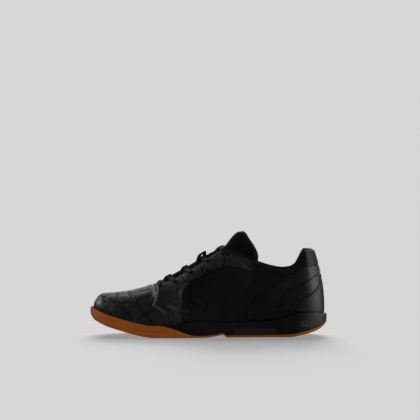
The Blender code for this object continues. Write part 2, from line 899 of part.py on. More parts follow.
def build_tongue(finish, parent):
    """Padded tongue from under the vamp to above the collar."""
    bm = bmesh.new()
    depths = bm.verts.layers.float.new("depth")
    lengthwise, crosswise = 16, 10
    rows = []
    for i in range(lengthwise + 1):
        share = i / lengthwise
        row = []
        for j in range(crosswise + 1):
            across = 2 * j / crosswise - 1
            made = vertex(bm, tongue_point(share, across))
            made[depths] = TONGUE.thick(share) * (1 - 0.45 * abs(across) ** 3)
            row.append(made)
        rows.append(row)
    join_rows(bm, rows, closed=False)
    inward = inset_by_depth(bm, depths)
    if min(place.z for place in inward.values()) > min(v.co.z for v in bm.verts):
        inward = {v: 2 * v.co - place for v, place in inward.items()}
    thicken(bm, inward)
    return add_object("tongue", bm, finish, parent)


def lace_path(from_place, to_place, from_side, share):
    """Middle of a lace bar: up the eyestay, over the throat, and down the eyestay opposite."""

    def on_wall(along, side):
        place = from_place + (to_place - from_place) * along
        turn = turn_at(place)
        eyelet = level_below_edge(turn, side, EYELETS.drop(place))
        climb = min(along, 1 - along) / LACE_CLIMB
        over = 0.0 if from_place == to_place else -from_side * LACE_OVER
        return upper_skin(turn, side, eyelet + (1 - eyelet) * climb, LACE_LIFT + over)

    if share <= LACE_CLIMB:
        return on_wall(share, from_side)
    if share >= 1 - LACE_CLIMB:
        return on_wall(share, -from_side)
    step = 0.02
    first, last = on_wall(LACE_CLIMB, from_side), on_wall(1 - LACE_CLIMB, -from_side)
    rising = first - on_wall(LACE_CLIMB - step, from_side)
    falling = on_wall(1 - LACE_CLIMB + step, -from_side) - last
    t = (share - LACE_CLIMB) / (1 - 2 * LACE_CLIMB)
    reach = LACE_SLACK * (last - first).length
    return (
        (1 + 2 * t) * (1 - t) ** 2 * first
        + t * (1 - t) ** 2 * reach * rising.normalized()
        + t * t * (3 - 2 * t) * last
        - t * t * (1 - t) * reach * falling.normalized()
    )


def lace_bar(name, from_place, to_place, from_side, finish, parent):
    """Flat bar of lace from an eyelet, over the tongue, to one on the other side."""
    step = 0.01
    slope = Vector((10, 0, UPPER.top(from_place + 5) - UPPER.top(from_place - 5)))
    bm = bmesh.new()
    rows = []
    for k in range(LACE_STEPS + 1):
        share = k / LACE_STEPS
        middle = lace_path(from_place, to_place, from_side, share)
        before = lace_path(from_place, to_place, from_side, max(share - step, 0))
        along = lace_path(from_place, to_place, from_side, min(share + step, 1)) - before
        out = slope.cross(along).normalized() * -from_side
        width = along.cross(out).normalized() * LACE_WIDTH / 2
        thick = width.cross(along).normalized() * LACE_THICK / 2
        rows.append([vertex(bm, middle + a * width + b * thick)
                     for a, b in ((-1, -1), (1, -1), (1, 1), (-1, 1))])
    join_rows(bm, rows, closed=True)
    bm.faces.new(rows[0])
    bm.faces.new(rows[-1])
    return add_object(name, bm, finish, parent)


def build_laces(finish, parent):
    """Bottom bar and four crossings, joined where they pass over each other."""
    bars = [lace_bar("lace_crossings", EYELET_STATIONS[0], EYELET_STATIONS[0], OUTER, finish, parent)]
    for k, (low, high) in enumerate(zip(EYELET_STATIONS, EYELET_STATIONS[1:])):
        for side in (OUTER, INNER):
            bars.append(lace_bar(f"lace_bar_{k}_{side}", low, high, side, finish, parent))
    for bar in bars[1:]:
        bar.hide_render = True
        bar.display_type = "WIRE"
        join = bars[0].modifiers.new(bar.name, "BOOLEAN")
        join.operation = "UNION"
        join.object = bar
    return bars[0]


def build_shoe():
    for old in list(bpy.data.objects):
        bpy.data.objects.remove(old)
    shoe = bpy.data.objects.new("court_shoe", None)
    bpy.context.scene.collection.objects.link(shoe)
    leather = material("vamp_leather", LEATHER, 0.42)
    synthetic = material("panel_synthetic", SYNTHETIC, 0.5)
    knit = material("tongue_knit", KNIT, 0.85)
    foam = material("midsole_foam", FOAM, 0.6)
    gum = material("gum_rubber", GUM, 0.5)

    sole_turns = sorted({*even_steps(SOLE_COLUMNS), turn_at(EXPOSED_FROM)})
    throat_front = {turn_at(THROAT_START + THROAT_ROUND * share) for share in (0, 0.15, 0.45)}
    upper_turns = sorted({*even_steps(UPPER_COLUMNS)} | throat_front)
    build_outsole(sole_turns, gum, shoe)
    build_midsole(sole_turns, foam, shoe)
    build_insole(even_steps(INSOLE_COLUMNS), knit, shoe)
    upper = build_upper(upper_turns, even_steps(UPPER_ROWS), leather, shoe)
    for side in (OUTER, INNER):
        for k, place in enumerate(EYELET_STATIONS):
            cut(upper, eyelet_punch(f"upper_punch_{side}_{k}", place, side, shoe))
    build_tongue(knit, shoe)
    build_eyestay("eyestay_outer", OUTER, synthetic, shoe)
    build_eyestay("eyestay_inner", INNER, synthetic, shoe)
    build_heel_overlays(synthetic, shoe)
    build_collar_pieces(knit, shoe)
    build_laces(knit, shoe)


build_shoe()
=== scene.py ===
"""Looks of the indoor court shoe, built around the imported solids.

Metres, +Z up, toe towards -X, outer side of the foot towards -Y. Sizes in the tables and in the
surface functions are millimetres. A place on the shoe has a turn (0 at the toe tip, 1 at the heel),
a side (OUTER or INNER) and, on the upper, a level (0 at the sole, 1 at the throat or collar edge).
Places are numpy arrays, so one call shapes a whole piece.
"""

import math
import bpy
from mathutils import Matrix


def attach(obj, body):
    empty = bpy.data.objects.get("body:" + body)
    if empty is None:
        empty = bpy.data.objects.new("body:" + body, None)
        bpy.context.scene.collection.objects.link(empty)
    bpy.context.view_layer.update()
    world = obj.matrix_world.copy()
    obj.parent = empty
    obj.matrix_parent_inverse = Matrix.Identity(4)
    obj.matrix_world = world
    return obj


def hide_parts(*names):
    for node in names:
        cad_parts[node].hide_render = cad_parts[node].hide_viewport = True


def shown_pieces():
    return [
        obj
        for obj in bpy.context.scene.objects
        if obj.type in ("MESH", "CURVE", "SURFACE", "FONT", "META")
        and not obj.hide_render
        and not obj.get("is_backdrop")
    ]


bl_info = {
    "name": "Indoor court shoe",
    "version": (1, 0, 0),
    "blender": (4, 5, 0),
    "location": "3D View > Sidebar > Court shoe",
    "description": "Leather, rubber, textile and laces for the packed court shoe",
    "category": "Object",
}

import bmesh
import bpy
import numpy as np
from bpy.props import FloatProperty, FloatVectorProperty, PointerProperty
from mathutils import Matrix, Vector

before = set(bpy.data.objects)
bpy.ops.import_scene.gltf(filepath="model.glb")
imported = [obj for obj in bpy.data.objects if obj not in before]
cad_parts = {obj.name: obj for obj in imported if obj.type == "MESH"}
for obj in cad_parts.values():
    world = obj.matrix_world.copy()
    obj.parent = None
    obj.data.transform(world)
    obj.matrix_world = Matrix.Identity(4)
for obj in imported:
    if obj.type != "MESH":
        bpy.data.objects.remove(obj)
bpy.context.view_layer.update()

MM = 0.001
OUTER, INNER = SIDES = -1.0, 1.0

# Sizes shared with the solids
SOLE_LENGTH = 284.0
TOE_ROUND, HEEL_ROUND = 62.0, 40.0
GAP = 0.3
GUM_WALL = 3.0
MIDSOLE_SEAT = GUM_WALL + GAP
UPPER_INSET = 5.0
RIM_FIT = 0.5
EDGE_ROLL, EDGE_RISE = 1.6, 2.4
EXPOSED_FROM, EXPOSED_RAMP = 91.0, 9.0
UPPER_WALL, COLLAR_PAD = 2.2, 4.2
TOE_CAP, TOE_NOSE = 13.0, 2.2
THROAT_START, THROAT_ROUND = 76.0, 9.0
OVERLAY_TOP = 1.6
PANEL_GAP = 0.6
INSOLE_INSET, INSOLE_THICK = UPPER_INSET + UPPER_WALL + 0.8, 4.2
TONGUE_CLEAR, TONGUE_FREE_FROM, TONGUE_BEND, TONGUE_PUFF = 0.8, 150.0, 1.3, 3.8
EYELET_STATIONS = (84.0, 104.0, 124.0, 145.0, 167.0)
EYELET_DROPS, EYELET_RADIUS = (12.0, 12.0, 10.5, 8.5, 9.5), 2.1
PIVOT_CENTRE, PIVOT_RINGS = (-48.0, 1.0), (11.0, 19.0, 27.0)
GROOVE_WIDTH, GROOVE_DEPTH = 2.4, 1.3
HEEL_GROOVES, HEEL_GROOVE_HALF = (38.0, 52.0, 66.0, 80.0), 23.0
CUFF_FROM, CUFF_TO, CUFF_WIDTH = 197.0, 263.0, 5.0
TAB_FROM, EDGE_BARE = 264.0, 1.2
BAND_FROM, COUNTER_FROM, QUARTER_FROM = 236.0, 246.0, 188.0
BAND_STEP = 233.8
OVER_RIM = 1.0
RIB_PITCH = 2.5


class Profile:
    """A smooth line through (place, value) pairs that doesn't overshoot between them."""

    def __init__(self, places, values):
        self.places, self.values = np.array(places, float), np.array(values, float)
        rises = np.diff(self.values) / np.diff(self.places)
        product, total = rises[:-1] * rises[1:], rises[:-1] + rises[1:]
        bends = np.where(product > 0, 2 * product / np.where(product > 0, total, 1), 0)
        self.slopes = np.concatenate((rises[:1], bends, rises[-1:]))

    def __call__(self, place):
        place = np.clip(place, self.places[0], self.places[-1])
        i = np.clip(np.searchsorted(self.places, place, side="right") - 1, 0, len(self.places) - 2)
        span = self.places[i + 1] - self.places[i]
        t = (place - self.places[i]) / span
        return (
            (1 + 2 * t) * (1 - t) ** 2 * self.values[i]
            + t * (1 - t) ** 2 * span * self.slopes[i]
            + t * t * (3 - 2 * t) * self.values[i + 1]
            - t * t * (1 - t) * span * self.slopes[i + 1]
        )


class Table:
    """Rows of sections: every column after the first becomes a Profile over the first."""

    def __init__(self, columns, *rows):
        places = [row[0] for row in rows]
        for k, name in enumerate(columns.split()[1:], start=1):
            setattr(self, name, Profile(places, [row[k] for row in rows]))


PLAN = Table(
    "station centre half",
    (0, 6.0, 47.0), (20, 4.5, 46.5), (40, 2.2, 46.8), (60, 0.4, 48.5), (80, -0.3, 49.8),
    (100, -2.0, 49.3), (120, -3.4, 46.0), (140, -4.3, 41.5), (160, -4.4, 38.0),
    (180, -3.4, 36.0), (200, -2.0, 35.5), (240, -0.4, 36.0), (284, 0.0, 36.0),
)
GROUND = Table(
    "station height",
    (0, 19.5), (6, 17.2), (13, 14.6), (20, 12.3), (35, 8.2), (49, 4.7), (63, 1.7), (76, 0.0),
    (136, 0.0), (150, 1.4), (160, 3.2), (164, 0.0), (238, 0.0), (254, 2.6), (268, 6.0),
    (276, 9.2), (281, 12.4), (284, 15.0),
)
LAYERS = Table(
    "station gum_floor gum_top midsole_floor",
    (0, 4.5, 14.6, 8.2), (30, 4.2, 14.4, 8.2), (80, 4.0, 14.3, 8.4), (90, 4.0, 13.4, 8.6),
    (98, 3.6, 11.6, 9.0), (106, 3.0, 8.8, 9.6), (114, 2.6, 5.6, 10.2), (122, 2.3, 3.2, 10.8),
    (132, 2.2, 2.4, 11.2), (160, 2.2, 2.3, 9.6), (166, 2.4, 2.5, 12.8), (200, 2.6, 2.7, 13.8),
    (238, 3.2, 3.3, 15.0), (260, 3.6, 3.7, 11.2), (284, 3.8, 3.9, 2.6),
)
RIM = Table(
    "station height",
    (91, 14.0), (104, 15.2), (120, 18.4), (134, 20.6), (150, 18.4), (168, 17.4), (206, 18.2),
    (224, 20.8), (235, 24.4), (244, 27.6), (256, 28.8), (270, 28.4), (284, 26.8),
)
UPPER = Table(
    "station top opening tilt lift swell shoulder",
    (0, 49.0, 0.0, 1, 0.60, 4.0, 0.60),
    (20, 50.4, 0.0, 1, 0.60, 4.5, 0.60),
    (45, 53.2, 0.0, 3, 0.58, 4.5, 0.60),
    (62, 57.0, 0.0, 7, 0.56, 4.5, 0.58),
    (76, 61.2, 9.0, 13, 0.52, 4.5, 0.56),
    (95, 66.0, 10.0, 20, 0.46, 4.0, 0.52),
    (118, 77.4, 11.5, 28, 0.40, 3.4, 0.46),
    (139, 90.4, 13.0, 36, 0.36, 3.0, 0.42),
    (153, 100.0, 15.0, 44, 0.34, 3.0, 0.40),
    (164, 105.0, 18.5, 53, 0.34, 3.0, 0.38),
    (177, 100.8, 22.5, 62, 0.34, 3.2, 0.36),
    (189, 94.4, 25.0, 68, 0.34, 3.4, 0.35),
    (202, 87.6, 27.0, 72, 0.35, 3.6, 0.35),
    (216, 82.9, 28.0, 74, 0.35, 3.6, 0.35),
    (231, 80.4, 28.0, 74, 0.35, 3.4, 0.35),
    (239, 81.0, 27.6, 74, 0.35, 3.2, 0.35),
    (247, 84.2, 26.8, 73, 0.35, 3.0, 0.35),
    (255, 92.6, 26.2, 72, 0.35, 2.8, 0.35),
    (260, 99.0, 26.0, 71, 0.35, 2.7, 0.35),
    (267, 103.4, 25.6, 70, 0.35, 2.6, 0.35),
    (284, 103.4, 25.0, 70, 0.35, 2.4, 0.35),
)
HEEL_LEAN = Table("station forward", (0, 0.0), (200, 0.0), (240, 1.0), (262, 5.4), (284, 12.0))
EYESTAY = Table(
    "station low",
    (76, 36.4), (80, 34.4), (86, 30.2), (94, 24.4), (100, 20.2), (105, 16.8), (108.6, 16.4),
    (109.6, 30.0), (110.4, 44.0), (112, 53.6), (117, 60.6), (121, 65.4), (126, 68.4), (132, 70.8),
    (138, 75.2), (142, 78.8), (148, 79.6), (156, 82.0), (165, 84.8), (178, 82.6), (194, 78.6),
)
EYELETS = Table("station drop", *zip(EYELET_STATIONS, EYELET_DROPS))
EYESTAY_FRONT = Table("station height", (76, 37.6), (78, 43.4), (80, 49.6), (81, 55.0), (82, 63.0))
HEEL_SEAMS = Table(
    "station counter band band_top",
    (188, 20.0, 35.0, 35.0), (194, 20.0, 39.4, 39.4), (210, 20.0, 53.4, 53.4),
    (219, 20.0, 60.2, 60.2), (233.8, 20.0, 67.4, 68.4), (236, 22.0, 56.6, 69.8),
    (240, 24.6, 57.4, 72.0), (246, 32.6, 59.4, 75.6), (251, 40.4, 61.6, 79.2),
    (256, 45.2, 63.8, 81.4), (266, 50.6, 68.2, 83.4), (276, 58.4, 72.6, 84.6),
    (284, 69.0, 75.0, 85.2),
)
TONGUE = Table(
    "share x z half wrap direction thick",
    (0.00, -72.0, 54.2, 9.0, 2.0, 70, 2.6),
    (0.08, -61.0, 58.8, 11.0, 2.6, 68, 3.0),
    (0.18, -47.0, 67.4, 14.5, 4.0, 66, 3.6),
    (0.36, -24.0, 80.2, 17.0, 7.0, 62, 4.6),
    (0.53, -3.0, 93.0, 19.0, 12.0, 56, 5.0),
    (0.65, 11.0, 100.4, 21.0, 22.0, 46, 5.0),
    (0.74, 17.5, 104.8, 21.0, 38.0, 34, 5.6),
    (0.82, 23.0, 112.6, 21.0, 41.0, 31, 6.0),
    (0.90, 28.5, 119.4, 19.0, 27.0, 28, 6.0),
    (0.95, 33.0, 123.4, 15.5, 13.5, 26, 6.0),
    (1.00, 37.5, 125.6, 9.0, 6.0, 20, 5.6),
)

# Quilting seams of the vamp, each through (station, height) places on one side
QUILT_SEAMS = {
    "strip": (
        (3.5, 38.0), (8, 42.6), (13.7, 46.0), (20, 48.5), (27, 49.2), (34, 49.7), (44, 50.4),
        (59, 52.8), (71, 55.6),
    ),
    "long": (
        (17.7, 41.2), (24, 40.4), (31, 41.0), (39, 39.8), (50, 40.2), (58, 42.0), (66, 45.1), (76, 49.4),
    ),
    "toe_cross": ((13.7, 46.0), (15.6, 43.6), (17.7, 41.2)),
    "first_cross": ((28.6, 50.9), (30.6, 47.0), (33.9, 40.8)),
    "second_cross": ((44.1, 52.6), (46.6, 48.6), (50.2, 44.4), (52.4, 40.6)),
    "front_diamond": ((36.0, 40.2), (41.4, 33.0), (45.6, 26.6), (49.4, 21.6)),
    "rear_diamond": ((55.5, 41.2), (60.0, 36.0), (64.2, 31.0), (73.0, 20.6)),
    "low_cross": ((56.0, 20.4), (61.0, 24.6), (66.0, 27.7), (76.6, 33.2)),
}
# These are sewn with two rows side by side, a little sunk
DOUBLE_SEAMS = ("toe_cross", "first_cross", "second_cross", "front_diamond", "rear_diamond")
SEAM_SPREAD, SEAM_SUNK = 1.2, 0.45
# Trim across the end of the vamp, and the hooked row of stitches on the rear quarter
THROAT_TRIM = ((71.5, 59.3), (74.0, 57.0), (77.0, 52.6), (80.5, 48.0))
QUARTER_HOOK = ((231.2, 42.6), (228.5, 38.4), (225.2, 37.2), (226.0, 35.2), (232.0, 31.8), (241.7, 27.7))
# Round lobes of the eyestay, as station, height and radius
LACE_LOBES, LOBE_HEIGHT = ((124.6, 75.7, 12.6), (150.2, 90.5, 12.5)), 0.8
# Rows of stitches, as distances inside the edges of the panels, and one stitch
EYESTAY_ROW, QUARTER_ROW, COUNTER_ROW, TAB_ROW, ROW_SUNK = 4.4, 3.6, 4.0, 2.0, 0.3
STITCH_LONG, STITCH_WIDE, STITCH_TALL = 2.0, 0.6, 0.48
# Piping under the collar, as distances below its edge at the front and further back
PIPING_FROM, PIPING_DROPS = 170.0, ((3.0, 7.1), (5.0, 8.7))
# Studs and ridges on the sole's side. Gum rows: first station, height. Fields: first and last
# station, height over the gum, rows, radius. Ridges: stations at the heel, drops below the rim
GUM_ROWS, GUM_ROWS_TO, GUM_STUD = ((54, 2.6), (60, 4.6), (94, 6.6)), 120.0, 0.72
STUD_FIELDS = ((175, 222, 1.9, 3, 0.8), (262, 283, 2.9, 5, 0.95))
HEEL_RIDGES, HEEL_RIDGE_HEIGHTS, HEEL_RIDGE_WIDTH = (252.0, 254.4, 256.8, 259.2), (11.0, 20.5), 0.8
ARCH_RIDGE_DROPS, ARCH_RIDGE_SPAN, ARCH_RIDGE_WIDTH = (0.4, 3.0), (126.0, 160.0), 0.9
# Lace in an eyelet, and the two high places of its loose crossing: station past the middle, lift
LACE_BUNCH_WIDE, LACE_BUNCH_THICK = 3.4, 2.4
LOOSE_LACE, LACE_OVER, LACE_UNDER = ((-3.5, 3.4), (3.0, 4.2)), 1.4, 0.6
TONGUE_BINDING = 4.6
# Colours of seams and of the dull quarter
SEAM_BLACK, PANEL_BLACK, QUARTER_BLACK = (0.0015,) * 3, (0.0012,) * 3, (0.0042,) * 3
# Soft lights on the shoe: name, place, size, power, whether it shows in glossy surfaces
SOFT_BOXES = (
    ("toe_light", (-1.7, 1.1, 1.1), 1.3, 16, True),
    ("heel_light", (1.9, 0.0, 0.45), 1.4, 28, True),
    ("top_light", (0.0, 1.9, 1.5), 1.6, 9, True),
    ("back_light", (0.5, 2.2, 0.9), 1.2, 16, True),
    ("front_light", (-0.9, -2.2, 1.0), 1.2, 22, False),
)
# Light on the floor: name, height and spread in degrees, share of the backdrop's tone
SUNS = (("floor_light", 45, 44, 0.28), ("low_light", 20, 22, 0.30))
FLOOR_WHITE, FLOOR_GLOW = 0.8, 0.42
# Soft folds that wear leaves, as ((station, height), ...), depth and half width; ridges are below zero
CREASES = (
    (((111, 51.0), (122, 45.4), (134, 40.0)), -1.6, 2.4),
    (((108, 41), (120, 36), (136, 34)), 0.5, 4.0),
    (((91, 39.0), (103, 34.6), (115, 31.2)), -1.5, 2.0),
    (((156.6, 95.8), (163, 94.8), (168, 95.6), (170, 100.4)), -0.6, 0.9),
    (((84, 25), (96, 23), (106, 24)), 0.4, 3.5),
    (((22, 32), (30, 29), (40, 26)), 0.4, 4.0),
    (((196, 64), (206, 60), (214, 61)), 0.4, 5.0),
    (((150, 60), (166, 54), (180, 56)), 0.35, 6.0),
)


def rounded(share):
    """Quarter circle from 0 to 1."""
    share = np.clip(share, 0, 1)
    return np.sqrt(1 - (1 - share) ** 2)


def eased(share):
    """Smooth step from 0 to 1."""
    share = np.clip(share, 0, 1)
    return share * share * (3 - 2 * share)


def ramp(value, start, length):
    """Smooth step from 0 to 1 that begins at a value and takes a length."""
    return eased((value - start) / length)


def hump(distance, width):
    """Bell of height 1 over a distance of 0."""
    return np.exp(-((distance / width) ** 2))


def mixed(first, second, share):
    return first + (second - first) * share


def unit(vectors):
    length = np.linalg.norm(vectors, axis=-1, keepdims=True)
    return vectors / np.maximum(length, 1e-9)


def times(numbers, vectors):
    return np.asarray(numbers)[..., None] * vectors


def station(turn):
    return SOLE_LENGTH * (1 - np.cos(np.pi * turn)) / 2


def turn_at(place):
    return np.arccos(1 - 2 * np.asarray(place, float) / SOLE_LENGTH) / np.pi


def outline(turn, side, inset=0.0):
    """Plan point of the sole's edge, moved in along its own normal, and that normal."""

    def edge(t):
        place = station(t)
        half = PLAN.half(place) * rounded(place / TOE_ROUND)
        half = half * rounded((SOLE_LENGTH - place) / HEEL_ROUND)
        past_the_tip = np.where((t < 0) | (t > 1), -1, 1)
        return np.stack((place - SOLE_LENGTH / 2, PLAN.centre(place) + past_the_tip * side * half), -1)

    step = 1e-4
    along = unit(edge(turn + step) - edge(turn - step))
    outward = times(side, np.stack((-along[..., 1], along[..., 0]), -1))
    return edge(turn) - times(inset, outward), outward


def ground(turn):
    return GROUND.height(station(turn))


def gum_floor(turn):
    return ground(turn) + LAYERS.gum_floor(station(turn))


def gum_top(turn):
    return ground(turn) + LAYERS.gum_top(station(turn))


def midsole_floor(turn):
    return ground(turn) + LAYERS.midsole_floor(station(turn))


def exposed(turn):
    """0 where the gum wall hides the midsole, 1 where the midsole makes the sole's side."""
    return ramp(station(turn), EXPOSED_FROM, EXPOSED_RAMP)


def rim_top(turn):
    shown = np.maximum(RIM.height(station(turn)), gum_top(turn) + 2 * GAP)
    return np.where(station(turn) >= EXPOSED_FROM, shown, midsole_floor(turn) + 2.0)


def half_opening(place):
    """Half width of the throat and collar, closed before the throat and round the heel."""
    opening = UPPER.opening(place) * rounded((place - THROAT_START) / THROAT_ROUND)
    return opening * rounded((SOLE_LENGTH - place) / HEEL_ROUND)


def upper_wall(turn, side, level):
    """Point of the upper's outer face."""
    turn, side, level = np.broadcast_arrays(*(np.asarray(a, float) for a in (turn, side, level)))
    side = np.where((turn < 0) | (turn > 1), -side, side)
    turn = 1 - np.abs(1 - np.abs(turn))
    place = station(turn)
    closing = rounded(place / TOE_CAP)
    foot, outward = outline(turn, side, UPPER_INSET)
    low = midsole_floor(turn) + GAP
    rise = (UPPER.top(place) - low) * closing
    lean = HEEL_LEAN.forward(place) + TOE_NOSE * 4 * closing * (1 - closing)
    zero = np.zeros_like(place)
    top = np.stack((foot[..., 0] - lean, PLAN.centre(place) + side * half_opening(place), low + rise), -1)
    start = np.stack((foot[..., 0], foot[..., 1], low), -1)
    back = ramp(place, 200, 60)
    level_out = np.stack((outward[..., 0], outward[..., 1], zero), -1)
    away = times(1 - back, np.stack((zero, side, zero), -1)) + times(back, level_out)
    tilt = np.radians(UPPER.tilt(place))
    span = np.abs(foot[..., 1] - top[..., 1])
    reach = UPPER.shoulder(place) * np.hypot(span * np.cos(tilt), rise * np.sin(tilt))
    up = np.stack((zero, zero, zero + 1), -1)
    low_bend = start + times(UPPER.swell(place) * closing, level_out) + times(UPPER.lift(place) * rise, up)
    high_bend = top + times(reach * np.cos(tilt), away) - times(reach * np.sin(tilt), up)
    far = 1 - level
    return (
        times(far**3, start)
        + times(3 * far * far * level, low_bend)
        + times(3 * far * level * level, high_bend)
        + times(level**3, top)
    )


def upper_normal(turn, side, level):
    step = 1e-3
    along = upper_wall(turn + step, side, level) - upper_wall(turn - step, side, level)
    up = upper_wall(turn, side, level + step) - upper_wall(turn, side, level - step)
    out = times(side, np.cross(up, along))
    length = np.linalg.norm(out, axis=-1, keepdims=True)
    return np.where(length > 1e-7, out / np.maximum(length, 1e-7), (-1.0, 0.0, 0.0))


def upper_skin(turn, side, level, lift):
    """Point at a distance outside the upper's outer face."""
    turn, side, level = np.broadcast_arrays(*(np.asarray(a, float) for a in (turn, side, level)))
    return upper_wall(turn, side, level) + times(lift, upper_normal(turn, side, level))


def level_at(turn, side, height):
    """Level where the upper reaches a height."""
    low, high = np.zeros_like(turn), np.ones_like(turn)
    for _ in range(26):
        middle = (low + high) / 2
        below = upper_wall(turn, side, middle)[..., 2] < height
        low, high = np.where(below, middle, low), np.where(below, high, middle)
    return (low + high) / 2


def level_below_edge(turn, side, distance):
    """Level at a distance below the top edge, measured along the wall."""
    levels = np.linspace(1, 0, 121)
    walls = upper_wall(turn[:, None], np.broadcast_to(side, turn.shape)[:, None], levels[None, :])
    steps = np.linalg.norm(np.diff(walls, axis=1), axis=-1)
    gone = np.concatenate((np.zeros((len(turn), 1)), np.cumsum(steps, axis=1)), axis=1)
    distance = np.broadcast_to(distance, turn.shape)
    return np.array([np.interp(d, g, levels) for d, g in zip(distance, gone)])


def wall_depth(turn, level):
    """Thickness of the upper, with the padded collar round the ankle."""
    pad = ramp(station(turn), 186, 26) * ramp(level, 0.62, 0.26)
    return UPPER_WALL + COLLAR_PAD * pad * (1 - 0.45 * ramp(level, 0.9, 0.1))


def side_shift():
    turns = np.linspace(0, 1, 401)
    edges = [outline(turns, side)[0][:, 1] for side in SIDES]
    return -(np.min(edges) + np.max(edges)) / 2


SIDE_SHIFT = side_shift()


def in_metres(points):
    return (points + (0, SIDE_SHIFT, 0)) * MM


def smooth_path(points, count):
    """Points evenly along a smooth line through a few places."""
    points = np.array(points, float)
    gone = lengths_along(points, 0)
    steps = np.linspace(0, gone[-1], count)
    return np.stack([Profile(gone, column)(steps) for column in points.T], -1)


def on_upper(places, side, count):
    """Points of the upper along a line through (station, height) places, and their turn and level."""
    stations, heights = smooth_path(places, count).T
    turn = turn_at(stations)
    level = level_at(turn, side, heights)
    return upper_wall(turn, side, level), turn, level


def nearest(points, line):
    """Distance of every point from a line of close points."""
    best = np.full(len(points), 1e9)
    for place in line:
        best = np.minimum(best, np.sum((points - place) ** 2, axis=1))
    return np.sqrt(best)


def nearest_along(points, line, reach):
    """nearest(), worked out only for the points close to the line."""
    low, high = line.min(axis=0) - reach, line.max(axis=0) + reach
    close = np.all((points > low) & (points < high), axis=1)
    made = np.full(len(points), 99.0)
    made[close] = nearest(points[close], line)
    return made


def lengths_along(points, axis):
    """Distance from the first row or column to every point, along the grid."""
    steps = np.linalg.norm(np.diff(points, axis=axis), axis=-1)
    first = np.zeros_like(np.take(steps, [0], axis=axis))
    return np.concatenate((first, np.cumsum(steps, axis=axis)), axis=axis)


def between(values, gone, places):
    """Values at places along a line, from its rows of values and the lengths where they lie."""
    return np.stack([np.interp(places, gone, values[:, k]) for k in range(3)], -1)


def finer(line, step=0.35):
    """The same line with points no further apart than a step."""
    gone = lengths_along(line, 0)
    return between(line, gone, np.linspace(0, gone[-1], int(gone[-1] / step) + 2))


class Wire:
    """A shader socket that takes part in Python expressions."""

    def __init__(self, finish, socket):
        self.finish, self.socket = finish, socket

    def maths(self, operation, *values):
        return self.finish.node("ShaderNodeMath", {"operation": operation}, values)

    def __add__(self, other):
        return self.maths("ADD", self, other)

    def __rsub__(self, other):
        return self.maths("SUBTRACT", other, self)

    def __mul__(self, other):
        return self.maths("MULTIPLY", self, other)

    def __abs__(self):
        return self.maths("ABSOLUTE", self)

    __radd__, __rmul__ = __add__, __mul__

    def sine(self):
        return self.maths("SINE", self)

    def above(self, low, high):
        """0 below low, 1 above high, smooth between."""
        ends = {"Value": self, "From Min": low, "From Max": high}
        return self.finish.node("ShaderNodeMapRange", {"interpolation_type": "SMOOTHSTEP"}, ends)


class Finish:
    """A material in the making."""

    def __init__(self, name, **constants):
        self.material = bpy.data.materials.new(name)
        self.material.use_nodes = True
        self.tree = self.material.node_tree
        self.shader = self.tree.nodes["Principled BSDF"]
        for socket, value in constants.items():
            self.shader.inputs[socket.replace("_", " ")].default_value = value

    def node(self, kind, settings=None, values=(), output=0):
        """Any node: its type, its settings, then the values or links of its sockets."""
        made = self.tree.nodes.new(kind)
        for name, value in (settings or {}).items():
            setattr(made, name, value)
        for key, value in values.items() if isinstance(values, dict) else enumerate(values):
            if isinstance(value, Wire):
                self.tree.links.new(value.socket, made.inputs[key])
            else:
                made.inputs[key].default_value = value
        return Wire(self, made.outputs[output])

    def feed(self, **wires):
        for name, wire in wires.items():
            self.tree.links.new(wire.socket, self.shader.inputs[name.replace("_", " ")])
        return self.material

    def place(self):
        return self.node("ShaderNodeTexCoord", output=3)

    def measure(self, name):
        """A number that the piece's vertices carry."""
        return self.node("ShaderNodeAttribute", {"attribute_name": name}, output=2)

    def cloth_axes(self):
        """Lengths in metres along and across a cloth, from the piece's own vertices."""
        lay = self.node("ShaderNodeAttribute", {"attribute_name": "lay"}, output=1)
        return [self.node("ShaderNodeSeparateXYZ", None, (lay,), output=k) for k in (0, 1)]

    def noise(self, size, detail=2.0):
        """Cloudy noise from 0 to 1 whose spots are about size metres wide."""
        return self.node(
            "ShaderNodeTexNoise", None, {"Vector": self.place(), "Scale": 1 / size, "Detail": detail}
        )

    def pebbles(self, size):
        """Distance from the middle of the nearest grain, 0 to about 1."""
        return self.node("ShaderNodeTexVoronoi", None, {"Vector": self.place(), "Scale": 1 / size})

    def tint(self, first, second, share):
        """Colour from the first to the second, by a share from 0 to 1."""
        colours = [c if isinstance(c, Wire) else (*c, 1) for c in (first, second)]
        return self.node(
            "ShaderNodeMix", {"data_type": "RGBA"}, {0: share, 6: colours[0], 7: colours[1]}, output=2
        )

    def relief(self, height, depth, strength=1.0):
        """Bump whose full height is depth metres."""
        values = {"Strength": strength, "Distance": depth, "Height": height}
        return self.node("ShaderNodeBump", None, values)


def shade(colour, factor):
    """The same colour, darker or lighter."""
    return tuple(factor * c for c in colour)


def moulded_gum(colours):
    f = Finish("moulded_gum", Specular_IOR_Level=0.15)
    cloud, speck = f.noise(0.035), f.noise(0.0011, 3)
    x, y = (f.node("ShaderNodeSeparateXYZ", None, (f.place(),), output=k) for k in (0, 1))
    zigzag = ((x * 1400 + abs((y * 260).sine()) * 3.0).sine()).above(-0.35, 0.35)
    height = speck * 0.25 + zigzag * f.measure("tread")
    deep = shade(colours.gum, 0.78)
    return f.feed(
        Base_Color=f.tint(colours.gum, deep, (cloud * 0.7 + speck * 0.3).above(0.36, 0.66)),
        Roughness=cloud * 0.16 + 0.5,
        Normal=f.relief(height, 0.0004, 0.8),
    )


